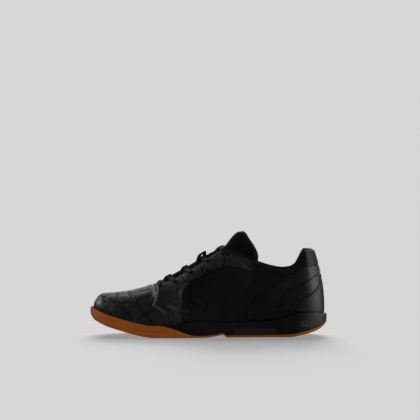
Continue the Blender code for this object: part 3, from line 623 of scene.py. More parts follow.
def moulded_dots(name, colour, highlight_factor, specular, solid, rough):
    """Smoother material of the small studs and ridges, made lighter by a factor as a painted highlight,
    solid up to a share of its specks.
    """
    f = Finish(name, Specular_IOR_Level=specular)
    speck = f.noise(0.0011, 3)
    return f.feed(
        Base_Color=f.tint(shade(colour, highlight_factor), colour, speck.above(solid, solid + 0.35)),
        Roughness=speck * 0.1 + rough,
    )


def moulded_foam(colours):
    f = Finish("moulded_foam", Specular_IOR_Level=0.4)
    cloud, speck = f.noise(0.02), f.noise(0.0008, 3)
    return f.feed(
        Base_Color=f.tint(colours.foam, shade(colours.foam, 1.5), cloud.above(0.35, 0.75)),
        Roughness=cloud * 0.14 + 0.5,
        Normal=f.relief(speck, 0.0002, 0.5),
    )


def quilted_leather(colours):
    """Soft semi-gloss leather over the vamp, flatter and matter over the quarter."""
    f = Finish("quilted_leather", Specular_IOR_Level=0.45, Coat_Roughness=0.4)
    groove, quarter, trim = f.measure("groove"), f.measure("quarter"), f.measure("trim")
    cloud, pores, grain = f.noise(0.012, 3), f.noise(0.0005), f.pebbles(0.0011)
    skin = f.tint(colours.leather, shade(colours.leather, 1.7), cloud.above(0.4, 0.7))
    skin = f.tint(f.tint(skin, SEAM_BLACK, groove), QUARTER_BLACK, quarter * 0.85)
    return f.feed(
        # The trim band across the end of the vamp is painted lighter: a painted highlight of its gloss
        Base_Color=f.tint(skin, shade(colours.leather, 3.5), trim),
        Roughness=cloud * 0.1 + quarter * 0.08 + groove * 0.5 + 0.33,
        Coat_Weight=(1 - quarter) * (1 - groove) * 0.04,
        Normal=f.relief(grain * 0.7 + pores * 0.3, 0.00022, 0.4),
    )


def coated_panel(name, colour, specular, rough):
    """Coated panel with a fine even grain: dark and dull in its seams, paler where a highlight is painted
    along edges and on fold crests.
    """
    f = Finish(name, Specular_IOR_Level=specular)
    cloud, pores, grain = f.noise(0.015), f.noise(0.0004), f.pebbles(0.0007)
    groove, wear = f.measure("groove"), f.measure("wear")
    skin = f.tint(colour, shade(colour, 1.6), cloud.above(0.4, 0.75))
    # Painted highlight, from the measure that the eyestays carry along the wing's front edge and fold
    # crests
    skin = f.tint(skin, shade(colour, 4.5), wear)
    return f.feed(
        Base_Color=f.tint(skin, PANEL_BLACK, groove),
        Roughness=cloud * 0.1 + groove * 0.45 + rough,
        Normal=f.relief(grain * 0.6 + pores * 0.4, 0.00014, 0.5),
    )


def knit_cloth(name, colour, stitch, row, depth):
    """Knitted cloth: rows of small loops along the piece's own lay."""
    f = Finish(name, Specular_IOR_Level=0.12, Sheen_Weight=0.03, Sheen_Roughness=0.5)
    along, across = f.cloth_axes()
    wave = (along * (2 * math.pi / stitch)).sine()
    loops = abs((across * (math.pi / row) + wave * 0.6).sine())
    height = loops * 0.7 + abs((along * (math.pi / stitch)).sine()) * 0.3
    lit = (height * 0.75 + f.noise(0.004) * 0.3).above(0.3, 0.95)
    return f.feed(
        Base_Color=f.tint(shade(colour, 0.6), shade(colour, 1.9), lit),
        Roughness=0.95 - height * 0.14,
        Normal=f.relief(height, depth, 0.8),
    )


def lining_cloth(colours):
    f = Finish("lining_cloth", Specular_IOR_Level=0.15, Sheen_Weight=0.1)
    loops, cloud = f.pebbles(0.0009), f.noise(0.01)
    return f.feed(
        # Painted light and shade: lighter in the middle of each loop, darker between the loops
        Base_Color=f.tint(shade(colours.knit, 1.8), shade(colours.knit, 0.6), loops.above(0.2, 0.7)),
        Roughness=cloud * 0.1 + 0.85,
        Normal=f.relief(1 - loops, 0.0003, 0.7),
    )


def lace_weave(colours):
    """Flat woven lace: ribs that slant to both sides of its middle, with painted light on their tops and
    painted shade between them.
    """
    f = Finish("lace_weave", Specular_IOR_Level=0.15, Sheen_Weight=0.03)
    along, across = f.cloth_axes()
    ribs = abs(((along + abs(across) * 0.8) * (math.pi / 0.0011)).sine())
    warp = abs((across * (math.pi / 0.0012)).sine())
    height = ribs * 0.7 + warp * 0.3
    return f.feed(
        Base_Color=f.tint(shade(colours.lace, 0.5), shade(colours.lace, 2.4), height.above(0.2, 0.95)),
        Roughness=0.85 - height * 0.2,
        Normal=f.relief(height, 0.0003, 0.9),
    )


def sewing_thread(colours):
    f = Finish("sewing_thread", Specular_IOR_Level=0.35)
    twist = f.noise(0.0006)
    return f.feed(
        Base_Color=f.tint(colours.thread, shade(colours.thread, 2.0), twist.above(0.35, 0.65)),
        Roughness=twist * 0.2 + 0.45,
        Normal=f.relief(twist, 0.0001, 0.6),
    )


def shared(make, colours):
    """The material that a function makes, made only once."""
    return bpy.data.materials.get(make.__name__) or make(colours)


def sheet_layers(*measures):
    """New bmesh whose vertices carry the named numbers."""
    bm = bmesh.new()
    for name in measures:
        (bm.verts.layers.float_vector if name == "lay" else bm.verts.layers.float).new(name)
    return bm


def lay_grid(bm, points, finish=0, **measures):
    """Adds a grid whose vertices go to points[row, column], in millimetres."""
    rows, columns = points.shape[0] - 1, points.shape[1] - 1
    made = bmesh.ops.create_grid(bm, x_segments=columns, y_segments=rows, size=0.5)["verts"]
    flat = np.array([vert.co[:2] for vert in made]) + 0.5
    row, column = np.rint(flat[:, 1] * rows).astype(int), np.rint(flat[:, 0] * columns).astype(int)
    for vert, place in zip(made, in_metres(points[row, column])):
        vert.co = place
    for name, numbers in measures.items():
        layer = bm.verts.layers.float_vector[name] if name == "lay" else bm.verts.layers.float[name]
        for vert, number in zip(made, numbers[row, column].tolist()):
            vert[layer] = number
    for vert in made:
        for face in vert.link_faces:
            face.material_index = finish
    return made


def cloth_lay(points):
    """Lengths along and across a grid, in metres, for its weave."""
    along, across = lengths_along(points, 1), lengths_along(points, 0)
    return np.stack((along, across, 0 * along), -1) * MM


def walk(count, *exact, front=0.5):
    """Columns once round the shoe from the toe: outer side to the heel, inner side back.

    front is the share of them that lies in the front half of the turn.
    """
    turns = np.interp(np.linspace(0, 1, count + 1), (0, front, 1), (0, 0.5, 1))
    for place in exact:
        turns[np.argmin(np.abs(turns - turn_at(place)))] = turn_at(place)
    return np.concatenate((turns, turns[-2::-1])), np.repeat(SIDES, (count + 1, count))


def ring_at(turn, side, inset, height):
    plan, _ = outline(turn, side, inset)
    return np.concatenate((plan, np.broadcast_to(height, turn.shape)[:, None]), axis=1)


def softened(rings, radius):
    """Rings with each corner of their section rounded."""
    made = [rings[0]]
    for before, corner, after in zip(rings, rings[1:], rings[2:]):
        arms = []
        for other in (before, after):
            length = np.linalg.norm(other - corner, axis=-1, keepdims=True)
            arms.append((other - corner) * np.minimum(radius / np.maximum(length, 1e-6), 0.45))
        for share in (0, 0.25, 0.5, 0.75, 1):
            made.append(corner + (1 - share) ** 2 * arms[0] + share**2 * arms[1])
    return np.array([*made, rings[-1]])


def lay_cap(bm, ring, rows, **measures):
    """Closes a ring from walk() with a grid from the outer side to the inner."""
    half = len(ring) // 2
    outer, inner = ring[: half + 1], ring[half:][::-1]
    points = mixed(outer, inner, np.linspace(0, 1, rows + 1)[:, None, None])
    lay_grid(bm, points, **{name: np.full(points.shape[:2], value) for name, value in measures.items()})


def mesh_of(name, bm):
    """A mesh of what was laid, which is then freed."""
    mesh = bpy.data.meshes.new(name)
    bm.to_mesh(mesh)
    bm.free()
    return mesh


def put(name, data):
    """A new object in the scene."""
    made = bpy.data.objects.new(name, data)
    bpy.context.scene.collection.objects.link(made)
    return made


def add_piece(name, bm, finishes, slot, *nodes, sharp=None):
    """Welds and turns outwards what was laid, and puts it in the scene in place of its solids."""
    bmesh.ops.remove_doubles(bm, verts=bm.verts, dist=0.008 * MM)
    bmesh.ops.recalc_face_normals(bm, faces=bm.faces)
    mesh = mesh_of(name, bm)
    mesh.shade_smooth()
    if sharp:
        mesh.set_sharp_from_angle(angle=math.radians(sharp))
    for finish in finishes:
        mesh.materials.append(finish)
    made = put(name, mesh)
    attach(made, "root")
    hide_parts(*nodes)
    return made


def finish_for_good(made):
    """Replaces a piece's mesh by what its modifiers make of it."""
    bpy.context.view_layer.update()
    seen = made.evaluated_get(bpy.context.evaluated_depsgraph_get())
    mesh, old = bpy.data.meshes.new_from_object(seen), made.data
    made.modifiers.clear()
    made.data = mesh
    mesh.name = made.name
    bpy.data.meshes.remove(old)


def cut_out(made, cutters):
    """Cuts closed shapes out of a piece."""
    bmesh.ops.recalc_face_normals(cutters, faces=cutters.faces)
    tool = put("cutters", mesh_of("cutters", cutters))
    mesh = tool.data
    cut = made.modifiers.new("cut", "BOOLEAN")
    cut.operation, cut.solver, cut.object = "DIFFERENCE", "MANIFOLD", tool
    finish_for_good(made)
    bpy.data.objects.remove(tool)
    bpy.data.meshes.remove(mesh)
    return made


def eyelet_frame(place, side):
    """Centre and outward direction of an eyelet."""
    turn = np.array([turn_at(place)])
    level = level_below_edge(turn, side, EYELETS.drop(place))
    return upper_wall(turn, side, level)[0], upper_normal(turn, side, level)[0]


def eyelet_punches(sides):
    """Round cutters through the eyelets of the given sides."""
    bm = bmesh.new()
    for side in sides:
        for place in EYELET_STATIONS:
            centre, out = eyelet_frame(place, side)
            stand = Vector(out).to_track_quat("Z", "Y").to_matrix().to_4x4()
            matrix = Matrix.Translation(in_metres(centre)) @ stand
            bmesh.ops.create_cone(
                bm, cap_ends=True, segments=24, radius1=EYELET_RADIUS * MM,
                radius2=EYELET_RADIUS * MM, depth=12 * MM, matrix=matrix,
            )
    return bm


def folds(points):
    """Height of the worn folds at every point, softer on the inner side."""
    flat, made = points.reshape(-1, 3), 0.0
    for side, share in ((OUTER, 1.0), (INNER, 0.35)):
        for places, depth, width in CREASES:
            line = on_upper(places, side, 60)[0]
            d = nearest_along(flat, line, 4 * width) / width
            ends = eased(nearest(flat, line[[0, -1]]) / (3 * width))
            made = made + share * ends * depth * (0.45 * hump(d - 1.9, 1) - hump(d, 1))
    return made.reshape(points.shape[:-1])


def quilt_relief(points, turn, level):
    """Height over the smooth upper, seam share, and the share of the trim band where a highlight is
    painted.
    """
    flat = points.reshape(-1, 3)
    seam, groove = np.full(len(flat), 99.0), np.zeros(len(flat))
    trim = np.full(len(flat), 99.0)
    for side in SIDES:
        for name, places in QUILT_SEAMS.items():
            d = nearest_along(flat, on_upper(places, side, 160)[0], 16)
            seam = np.minimum(seam, d)
            rows = d - SEAM_SPREAD if name in DOUBLE_SEAMS else d
            groove = np.maximum(groove, hump(rows, 0.6))
        trim = np.minimum(trim, nearest_along(flat, on_upper(THROAT_TRIM, side, 80)[0], 12))
    seam, groove, trim = (a.reshape(turn.shape) for a in (seam, groove, trim))
    place = station(turn)
    padded = eased(place / 12) * (1 - ramp(place, 66, 14)) * ramp(level, 0.08, 0.14)
    groove = groove * (1 - ramp(place, 74, 6))
    puff = 1 - hump(seam, 4.5)
    band = 0.7 * hump(trim - 1.5, 0.7) - 0.2 * hump(trim, 0.5)
    return 0.4 * padded * puff - 0.55 * groove + band + folds(points), groove, np.exp(-((trim / 2.3) ** 4))


def crowded(count, ends=0.8):
    """Shares from 0 to 1 that lie closer together at both ends."""
    even = np.linspace(0, 1, count + 1)
    return even - ends * np.sin(2 * np.pi * even) / (2 * np.pi)


def wrap_round_heel(first, count, *dense):
    """Columns from a station on the outer side, round the heel, to the same one inside.

    A quarter of them lies between the dense stations, if two are given.
    """
    half = turn_at(first) + (1 - turn_at(first)) * np.linspace(0, 1, count // 2 + 1)
    if dense:
        edges = turn_at((first, *dense, SOLE_LENGTH))
        half = np.interp(np.linspace(0, 1, count // 2 + 1), (0, 0.4, 0.65, 1), edges)
    return np.concatenate((half, half[-2::-1])), np.repeat(SIDES, (len(half), len(half) - 1))


class SewnPanel:
    """A piece sewn on the upper between two levels."""

    def __init__(self, turn, side, low, high, rows):
        self.turn, self.side = turn, np.broadcast_to(side, turn.shape)
        self.share = crowded(rows)[:, None] + 0 * turn
        self.level = mixed(low, high, self.share)
        self.base = upper_wall(self.turn, self.side, self.level)
        self.normal = upper_normal(self.turn, self.side, self.level)
        base = self.base
        self.borders = {"low": base[0], "high": base[-1], "front": base[:, 0], "back": base[:, -1]}

    def from_edge(self, *names):
        """Distance of every place from the named edges, or from the whole border."""
        lines = [finer(self.borders[name]) for name in names or self.borders]
        return nearest(self.base.reshape(-1, 3), np.concatenate(lines)).reshape(self.share.shape)

    def lay(self, bm, roundness, relief=0.0, **measures):
        """Top with rounded edges and the face that lies on the upper, closed along the edge."""
        lift = 0.05 + (OVERLAY_TOP - 0.05 + relief) * rounded(self.from_edge() / roundness)
        lay_grid(bm, self.base + times(lift, self.normal), **measures)
        lay_grid(bm, self.base + 0.05 * self.normal, **measures)

    def row(self, edge, distance):
        """Points and normals along the lower or upper edge, at a distance inside it."""
        rows = (0, 1) if edge == "low" else (-1, -2)
        line, normal = self.base[rows[0]], self.normal[rows[0]]
        inward = unit(np.cross(normal, np.gradient(line, axis=0)))
        inward *= np.sign(np.sum(inward * (self.base[rows[1]] - line)))
        return line + distance * inward + (OVERLAY_TOP - ROW_SUNK) * normal, normal


def channel(distance, at, depth, width=0.55):
    """Narrow trough at a distance, such as a row of stitches presses into a panel."""
    return -depth * hump(distance - at, width)


def add_stitches(bm, points, normals, pitch):
    """Row of stitches along a line, each a small pressed thread."""
    gone = lengths_along(points, 0)
    places = (np.arange(int(gone[-1] / pitch)) + 0.5) * pitch
    tail, middle, head = (between(points, gone, places + end * STITCH_LONG / 2) for end in (-1, 0, 1))
    along = unit(head - tail)
    across = unit(np.cross(unit(between(normals, gone, places)), along))
    out = np.cross(along, across)
    axes = np.stack((along * STITCH_LONG, across * STITCH_WIDE, out * STITCH_TALL), axis=2) * MM / 2
    for axis, place in zip(axes.tolist(), in_metres(middle)):
        matrix = Matrix(axis).to_4x4()
        matrix.translation = place
        bmesh.ops.create_uvsphere(bm, u_segments=6, v_segments=4, radius=1.0, matrix=matrix)


def inside_height(place, side, half):
    """Height of the upper's inner face at a station and a distance from the middle."""
    turn, middle = turn_at(place), PLAN.centre(place)
    low, high = np.full(place.shape, 0.3), np.ones(place.shape)
    for _ in range(22):
        level = (low + high) / 2
        outside = np.abs(upper_skin(turn, side, level, -UPPER_WALL)[..., 1] - middle) > half
        low, high = np.where(outside, level, low), np.where(outside, high, level)
    return upper_skin(turn, side, low, -UPPER_WALL)[..., 2]


def tongue_puff(place):
    """How far the padding stands up between the laces."""
    return TONGUE_PUFF * ramp(place, 80, 12) * (1 - ramp(place, 152, 14))


def tongue_point(share, across):
    """Point of the tongue's outer face: its ridge, then back along its wrap to each edge."""
    side = np.where(across < 0, OUTER, INNER)
    angle, bend = np.radians(TONGUE.direction(share)), TONGUE_BEND * across
    wrap = TONGUE.wrap(share) * (1 - np.cos(bend)) / (1 - math.cos(TONGUE_BEND))
    x = TONGUE.x(share) + np.cos(angle) * wrap
    z = TONGUE.z(share) - np.sin(angle) * wrap
    place = x + SOLE_LENGTH / 2
    half = TONGUE.half(share) * np.abs(np.sin(bend)) / math.sin(TONGUE_BEND)
    turn = turn_at(place)
    collar = np.abs(upper_skin(turn, side, 1.0, -wall_depth(turn, 0.9))[..., 1] - PLAN.centre(place))
    free = place > TONGUE_FREE_FROM
    under = np.minimum(z, inside_height(place, side, half) - TONGUE_CLEAR)
    z = np.where(~free & (half >= 0.6 * half_opening(place)), under, z)
    crown = np.clip(1 - (half / (0.85 * np.maximum(half_opening(place), 1))) ** 2, 0, 1)
    z = z + tongue_puff(place) * crown
    half = np.where(free, np.minimum(half, collar - TONGUE_CLEAR), half)
    return np.stack((x, PLAN.centre(place) + side * half, z), -1)


def sweep(bm, path, wide, out, width, thick, sides=12):
    """Closed ribbon or tube along a path, with its ends drawn together."""
    angle = np.linspace(0, 2 * np.pi, sides + 1)[:, None]
    flat = np.sign(np.cos(angle)) * np.abs(np.cos(angle)) ** 0.7
    tall = np.sign(np.sin(angle)) * np.abs(np.sin(angle)) ** 0.7
    width, thick = (np.broadcast_to(a, len(path)).copy() for a in (width, thick))
    width[[0, -1]] = thick[[0, -1]] = 0
    points = path + times(flat * width / 2, wide) + times(tall * thick / 2, out)
    along = np.broadcast_to(lengths_along(path, 0), (sides + 1, len(path)))
    lay = np.stack((along, flat * width / 2, 0 * along), -1) * MM
    lay_grid(bm, points, lay=lay)


def colour_of(name, default, description):
    return FloatVectorProperty(
        name=name, description=description, default=default, subtype="COLOR", size=3, min=0, max=1
    )


def length_of(name, default, description):
    return FloatProperty(name=name, description=description, default=default, unit="LENGTH", min=0)


class ShoeColours(bpy.types.PropertyGroup):
    gum: colour_of("Gum", (0.32, 0.0865, 0.0132), "Rubber of the outsole")
    foam: colour_of("Foam", (0.0052, 0.0052, 0.0055), "Midsole")
    leather: colour_of("Leather", (0.0150, 0.0130, 0.0130), "Vamp and quarter")
    panel: colour_of("Panels", (0.0088, 0.0086, 0.0086), "Eyestays and rear quarter")
    satin: colour_of("Satin", (0.008, 0.0077, 0.0078), "Heel band, counter and tab")
    knit: colour_of("Knit", (0.0038, 0.0038, 0.004), "Collar, tongue and lining")
    lace: colour_of("Lace", (0.0042, 0.0042, 0.0044), "Laces")
    thread: colour_of("Thread", (0.006, 0.006, 0.0065), "Stitches")


class ShoeSizes(bpy.types.PropertyGroup):
    lace_width: length_of("Lace width", 6.0 * MM, "Width of the flat lace")
    lace_thick: length_of("Lace thickness", 1.3 * MM, "Thickness of the flat lace")
    stitch_pitch: length_of("Stitch pitch", 2.7 * MM, "From one stitch to the next")
    stud_pitch: length_of("Stud pitch", 2.7 * MM, "Between the small studs on the sole's side")


class ShoeStage(bpy.types.PropertyGroup):
    distance: length_of("Camera distance", 3.5, "From the camera to the shoe")
    view_width: length_of("View width", 0.504, "Width of the picture at the shoe")
    elevation: FloatProperty(
        name="Elevation", description="Camera above the horizon", default=math.radians(2.0), subtype="ANGLE"
    )
    target: FloatVectorProperty(
        name="Target", description="Middle of the picture", default=(0.0018, 0.0, 0.1503),
        subtype="TRANSLATION",
    )
    backdrop: colour_of("Backdrop", (0.679, 0.679, 0.679), "Floor and background")


def tread_cutters():
    """Pivot rings under the ball of the foot and bars across the heel."""
    bm = bmesh.new()
    centre = Vector(in_metres(np.array((*PIVOT_CENTRE, 0.0))))
    for radius in PIVOT_RINGS:
        section = [
            bm.verts.new(centre + Vector((radius + across * GROOVE_WIDTH / 2, 0, z)) * MM)
            for across, z in ((-1, -2), (1, -2), (1, GROOVE_DEPTH), (-1, GROOVE_DEPTH))
        ]
        edges = [bm.edges.new((section[i], section[(i + 1) % 4])) for i in range(4)]
        bmesh.ops.spin(
            bm, geom=section + edges, cent=centre, axis=(0, 0, 1), angle=2 * math.pi,
            steps=72, use_merge=True,
        )
    tall = GROOVE_DEPTH + 2
    for place in HEEL_GROOVES:
        size = Matrix.Diagonal((GROOVE_WIDTH * MM, 2 * HEEL_GROOVE_HALF * MM, tall * MM, 1))
        middle = Matrix.Translation((place * MM, 0, (GROOVE_DEPTH - tall / 2) * MM))
        bmesh.ops.create_cube(bm, size=1, matrix=middle @ size)
    return bm


def add_studs(bm, places, side, radius):
    """Small domes on the sole's side at (station, height) places."""
    for place, height in places:
        turn = np.array([turn_at(place)])
        plan, outward = outline(turn, np.array([side]))
        out = Vector((*outward[0], 0))
        along = Vector((-out.y, out.x, 0))
        matrix = Matrix((along * radius, Vector((0, 0, radius)), out * radius * 0.6)).transposed() * MM
        matrix = matrix.to_4x4()
        matrix.translation = in_metres(np.array((*plan[0], height)))
        bmesh.ops.create_uvsphere(bm, u_segments=8, v_segments=4, radius=1.0, matrix=matrix)


def add_ridge(bm, turn, side, height, width):
    """Thin moulded ridge along the sole's side."""
    path = ring_at(turn, side, 0.0, height)
    out = np.concatenate((outline(turn, side)[1], 0 * turn[:, None]), axis=1)
    sweep(bm, path, np.cross(unit(np.gradient(path, axis=0)), out), out, width, width, 8)


def stud_field(first, last, low, rows, pitch):
    """Staggered (station, height) places in rows above the gum's top line."""
    made = []
    for row in range(rows):
        places = np.arange(first + (row % 2) * pitch / 2, last, pitch)
        heights = gum_top(turn_at(places)) + low + row * pitch * 0.87
        below = heights < rim_top(turn_at(places)) - 3
        made += list(zip(places[below], heights[below]))
    return made


class SHOE_OT_outsole(bpy.types.Operator):
    """Gum cup with its rolled edge, pivot rings and heel bars"""

    bl_idname, bl_label = "shoe.outsole", "Outsole"

    def dots(self, pitch):
        """Rows of studs along the lower edge of the gum, more of them towards the arch."""
        made = []
        for row, (first, height) in enumerate(GUM_ROWS):
            places = np.arange(first + row * pitch / 2, GUM_ROWS_TO, pitch)
            heights = GROUND.height(places) + height
            low = heights < gum_top(turn_at(places)) - 1.2
            made += list(zip(places[low], heights[low]))
        return made

    def execute(self, context):
        colours = context.scene.shoe_colours
        # The gum studs are painted 1.9 times lighter than the gum: a painted highlight
        gum, dots = moulded_gum(colours), moulded_dots("gum_dots", colours.gum, 1.9, 0.3, 0.55, 0.4)
        pitch = context.scene.shoe_sizes.stud_pitch / MM
        turn, side = walk(170)
        nose = 1 - eased(station(turn) / 26)
        rolled = ground(turn) + np.minimum(EDGE_RISE + 3.0 * nose, 0.6 * LAYERS.gum_top(station(turn)))
        rings = softened(
            [
                ring_at(turn, side, EDGE_ROLL + 2.0 * nose, ground(turn)),
                ring_at(turn, side, 0.0, rolled),
                ring_at(turn, side, 0.0, gum_top(turn)),
                ring_at(turn, side, GUM_WALL, gum_top(turn)),
                ring_at(turn, side, GUM_WALL + 0.2, gum_floor(turn)),
            ],
            0.8 + 2.2 * nose[:, None],
        )
        bm = sheet_layers("tread")
        lay_grid(bm, rings)
        lay_cap(bm, rings[0], 24, tread=1.0)
        lay_cap(bm, rings[-1], 6)
        made = add_piece("gum_cup", bm, [gum], "gum_rubber", "outsole")
        cut_out(made, tread_cutters())
        made.data.set_sharp_from_angle(angle=math.radians(38))
        bm = bmesh.new()
        for side in SIDES:
            add_studs(bm, self.dots(pitch), side, GUM_STUD)
        add_piece("gum_studs", bm, [dots], "gum_rubber")
        return {"FINISHED"}


class SHOE_OT_midsole(bpy.types.Operator):
    """Foam cup with the lip round the heel and the fields of small studs"""

    bl_idname, bl_label = "shoe.midsole", "Midsole"

    def execute(self, context):
        colours = context.scene.shoe_colours
        # The foam studs and heel ridges are painted 9 times lighter than the foam: a painted highlight
        foam, dots = moulded_foam(colours), moulded_dots("foam_dots", colours.foam, 9.0, 0.5, 0.6, 0.36)
        pitch = context.scene.shoe_sizes.stud_pitch / MM
        turn, side = walk(170, EXPOSED_FROM)
        shows = station(turn) >= EXPOSED_FROM - 1e-6
        rim = rim_top(turn)
        ledge = np.where(shows, gum_top(turn) + GAP, rim)
        inset = MIDSOLE_SEAT * (1 - exposed(turn))
        lip = ramp(station(turn), 236, 14)
        fitted = upper_skin(turn, side, level_at(turn, side, rim), RIM_FIT)
        hidden = ring_at(turn, side, UPPER_INSET - 2 * RIM_FIT, rim)
        rings = softened(
            [
                ring_at(turn, side, MIDSOLE_SEAT + 0.3, gum_floor(turn) + GAP),
                ring_at(turn, side, MIDSOLE_SEAT, ledge),
                ring_at(turn, side, inset, ledge),
                ring_at(turn, side, inset, rim),
                np.where(shows[:, None], fitted, hidden),
                ring_at(turn, side, UPPER_INSET - GAP, midsole_floor(turn)),
            ],
            0.6 + 1.4 * lip[:, None],
        )
        bm = bmesh.new()
        lay_grid(bm, rings)
        lay_cap(bm, rings[0], 4)
        lay_cap(bm, rings[-1], 4)
        add_piece("foam_cup", bm, [foam], "midsole_foam", "midsole", sharp=40)

        bm = sheet_layers("lay")
        for side in SIDES:
            for drop in ARCH_RIDGE_DROPS:
                turn = turn_at(np.linspace(*ARCH_RIDGE_SPAN, 60))
                add_ridge(bm, turn, side, rim_top(turn) - drop, ARCH_RIDGE_WIDTH)
        for face in bm.faces:
            face.material_index = 1
        for side in SIDES:
            for place in HEEL_RIDGES:
                height = np.linspace(*HEEL_RIDGE_HEIGHTS, 12)
                add_ridge(bm, turn_at(np.full(12, place)), side, height, HEEL_RIDGE_WIDTH)
            for *field, radius in STUD_FIELDS:
                add_studs(bm, stud_field(*field, pitch), side, radius)
        add_piece("foam_studs", bm, [dots, foam], "midsole_foam")
        return {"FINISHED"}


class SHOE_OT_insole(bpy.types.Operator):
    """Cloth-topped board inside the upper"""

    bl_idname, bl_label = "shoe.insole", "Insole"

    def execute(self, context):
        turn, side = walk(90)
        low = midsole_floor(turn) + GAP
        rings = softened(
            [
                ring_at(turn, side, INSOLE_INSET, low),
                ring_at(turn, side, INSOLE_INSET, low + INSOLE_THICK - 1.0),
                ring_at(turn, side, INSOLE_INSET + 1.0, low + INSOLE_THICK),
            ],
            0.6,
        )
        bm = bmesh.new()
        lay_grid(bm, rings)
        lay_cap(bm, rings[0], 4)
        lay_cap(bm, rings[-1], 20)
        cloth = shared(lining_cloth, context.scene.shoe_colours)
        add_piece("footbed", bm, [cloth], "insole_textile", "insole", sharp=50)
        return {"FINISHED"}


def close_ridge(points, turn):
    """Brings both sides together along the middle before the throat."""
    for i in np.flatnonzero(station(turn[: len(turn) // 2]) <= THROAT_START + 1e-6):
        middle = (points[-1, i] + points[-1, -1 - i]) / 2
        middle[1] = PLAN.centre(station(turn[i]))
        points[-1, i] = points[-1, -1 - i] = middle
    return points


class SHOE_OT_upper(bpy.types.Operator):
    """Quilted leather outside, cloth lining inside, joined by the rolled throat and collar edge"""

    bl_idname, bl_label = "shoe.upper", "Upper"

    def execute(self, context):
        colours = context.scene.shoe_colours
        turn, side = walk(380, THROAT_START, front=0.66)
        level = np.linspace(0, 1, 96)[:, None] + 0 * turn
        turns = turn + 0 * level
        base = upper_wall(turn, side, level)
        even = sum(np.roll(base, k, axis=1) for k in range(-8, 9)) / 17
        low_front = hump(station(turns) - THROAT_START, 6) * (1 - ramp(level, 0.55, 0.25))
        base = base + times(low_front, even - base)
        lift, groove, trim = quilt_relief(base, turns, level)
        outside = close_ridge(base + times(lift, upper_normal(turn, side, level)), turn)
        deep = np.linspace(0, 1, 20)[:, None] + 0 * turn
        inside = close_ridge(upper_skin(turn, side, deep, -wall_depth(turn, deep)), turn)
        first = np.flatnonzero(station(turn[: len(turn) // 2 + 1]) <= THROAT_START + 1e-6)[-1]
        opened = slice(first, len(turn) - first)
        top, under = outside[-1, opened], inside[-1, opened]
        middle, arm = (top + under) / 2, (top - under) / 2
        rise = unit(base[-1, opened] - base[-3, opened]) * np.linalg.norm(arm, axis=1, keepdims=True)
        angle = np.linspace(0, np.pi, 9)[:, None, None]
        edge = middle + np.cos(angle) * arm + 0.4 * np.sin(angle) * rise
        bm = sheet_layers("groove", "quarter", "trim")
        lay_grid(bm, outside, groove=groove, trim=trim, quarter=ramp(station(turns), 96, 24))
        lay_grid(bm, inside, finish=1)
        lay_grid(bm, edge, finish=1)
        lay_grid(bm, np.stack((outside[0], inside[0])), finish=1)
        finishes = [quilted_leather(colours), shared(lining_cloth, colours)]
        made = add_piece("upper_shell", bm, finishes, "vamp_leather", "upper")
        cut_out(made, eyelet_punches(SIDES))
        return {"FINISHED"}


def eyestay_panel(side):
    stretches = ((76, 82, 44), (82, 108.4, 60), (108.4, 112.4, 56), (112.4, 194, 130))
    places = [np.linspace(first, last, count + 1)[1:] for first, last, count in stretches]
    turn = turn_at(np.concatenate(((76.0,), *places)))
    place = station(turn)
    low = level_at(turn, side, np.maximum(EYESTAY.low(place), rim_top(turn) + OVER_RIM))
    high = level_below_edge(turn, side, 3.0)
    front = np.minimum(high, level_at(turn, side, EYESTAY_FRONT.height(place)))
    return SewnPanel(turn, side, low, np.where(place <= 82, front, high), 44)


def eyestay_relief(panel, side):
    """Height, dark seams and painted highlight: a welt and stitches round the wing, round lobes, folds. The
    highlight is painted along the wing's front edge and on the crests of the folds.

    It thins out towards the sole and the back.
    """
    place = station(panel.turn)
    edge = panel.from_edge("low", "front")
    nose = nearest(panel.base.reshape(-1, 3), finer(panel.base[-1, place <= 82])).reshape(edge.shape)
    wing, rim = 1 - ramp(place, 111, 6), np.minimum(edge, nose)
    made = wing * (0.9 * hump(rim - 2.0, 1.5) + channel(edge, EYESTAY_ROW, 0.45))
    # Painted highlight along the front edge of the wing
    wear = 0.7 * (1 - ramp(place, 86, 10)) * hump(rim - 1.6, 1.5)
    groove = np.zeros(edge.shape)
    for at, height, radius in LACE_LOBES:
        middle = on_upper(((at, height), (at + 0.1, height)), side, 2)[0][0]
        d = np.linalg.norm(panel.base - middle, axis=-1) - radius
        made = made + LOBE_HEIGHT * eased(-d / 1.2) + channel(d, 0.6, 0.5, 0.7)
        groove = np.maximum(groove, hump(d - 0.6, 0.8))
    height = panel.base[..., 2]
    behind = ramp(place, 100, 6) * (1 - ramp(height, 34, 12))
    sole = wing * np.maximum(1 - ramp(height, 20, 12), behind)
    made = made * (1 - sole) - 1.35 * np.maximum(sole, ramp(place, 180, 13))
    worn = folds(panel.base)
    # The crests of the folds get a painted highlight too
    return made + worn, groove, np.maximum(wear * (1 - sole), 0.6 * eased(worn / 1.2))


